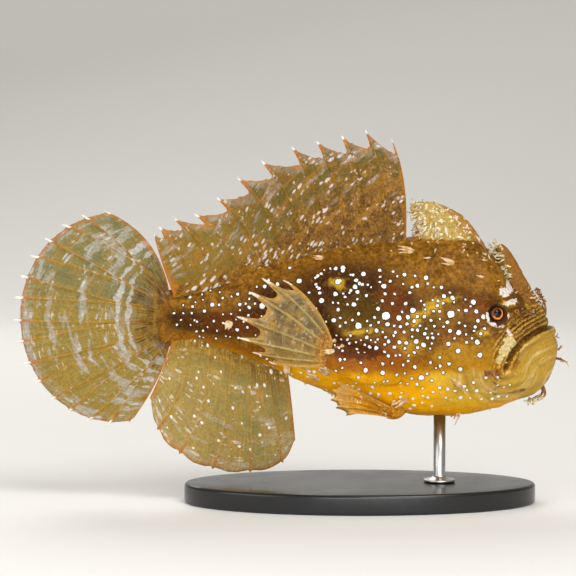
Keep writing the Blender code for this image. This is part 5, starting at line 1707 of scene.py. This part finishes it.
def makeFloor():
    # Pale paper hung in a sweep: matt, with no edge behind the stand
    material, tree, _ = newMaterial("palePaperSweep")
    paper = toLinear(room["paper"])
    shader = addNode(tree, "ShaderNodeBsdfPrincipled", {"Base Color": paper, "Roughness": 0.8})
    addNode(tree, "ShaderNodeOutputMaterial", {"Surface": shader})
    front, back, radius, top, half = room["sweep"]
    profile = [(front, 0.0), (back, 0.0)]
    for a in quarter(room["sweepSteps"])[1:]:
        profile.append((back + radius * math.sin(a), radius - radius * math.cos(a)))
    profile += [(back + radius, top)]
    points = [(x * metre, y * metre, z * metre) for x in (-half, half) for y, z in profile]
    n = len(profile)
    mesh = bpy.data.meshes.new("floorSweep")
    mesh.from_pydata(points, [], [(k, n + k, n + k + 1, k + 1) for k in range(n - 1)])
    mesh.materials.append(material)
    mesh.shade_smooth()
    inScene("floorSweep", mesh)


def makeRoom():
    makeFloor()
    world = bpy.data.worlds.new("softRoom")
    world.use_nodes = True
    world.node_tree.nodes["Background"].inputs["Color"].default_value = toLinear(room["air"])
    world.node_tree.nodes["Background"].inputs["Strength"].default_value = room["airStrength"]
    bpy.context.scene.world = world
    target = Vector(room["target"]) * metre
    for name, (place, size, watts) in room["lamps"].items():
        lamp = bpy.data.lights.new(name, "AREA")
        lamp.energy = watts
        lamp.size = size
        holder = inScene(name, lamp)
        holder.location = place
        holder.rotation_euler = (target - Vector(place)).to_track_quat("-Z", "Y").to_euler()
    tilt = math.radians(room["elevation"])
    back = Vector((0, -math.cos(tilt), math.sin(tilt)))
    lens = bpy.data.cameras.new("camera")
    lens.sensor_width = 36.0
    lens.lens = lens.sensor_width * room["distance"] / room["frameWidth"]
    lens.clip_start = 0.01
    camera = inScene("camera", lens)
    camera.location = target + back * room["distance"] * metre
    camera.rotation_euler = (-back).to_track_quat("-Z", "Y").to_euler()
    bpy.context.scene.camera = camera
    bpy.context.scene.view_settings.view_transform = "Standard"


paleTag = tagMaterial("paleSiliconeTag", "#e2c7a0", "#b98d58")
surface, eyeHits = makeSkin(paintedSkin(), paleTag)
glassEye = eyeMaterial()
for word in sides:
    makeEye(word, eyeHits[word], glassEye)
resins = {kind: tintedFin(f"tintedResin{kind.capitalize()}", paint) for kind, paint in finPaint.items()}
makeDorsalFin(resins["dorsal"])
makeAnalFin(resins["anal"])
makeTailFin(resins["tail"])
for word, side in sides.items():
    makeHand(word, side, resins["hand"])
    makePelvic(word, side, resins["pelvic"])
brownTag = tagMaterial("brownSiliconeTag", "#9c6a38", "#653c1a")
creamTag = tagMaterial("creamSiliconeTag", "#e2d6b4", "#9a7c4c", 0.8)
makeFlaps("paleFlaps", flaps["pale"], surface, paleTag, 3)
makeFlaps("brownFlaps", flaps["brown"], surface, brownTag, 4)
makeFringe(surface, creamTag, 9)
shadeTag = tagMaterial("shadedSiliconeHollow", "#5c3812", "#2e1a08")
makeBarbels(brownTag, creamTag)
makeOpenings(surface, brownTag, shadeTag)
makeLure(brownTag)
makeBase()
makeRod()
makeRoom()
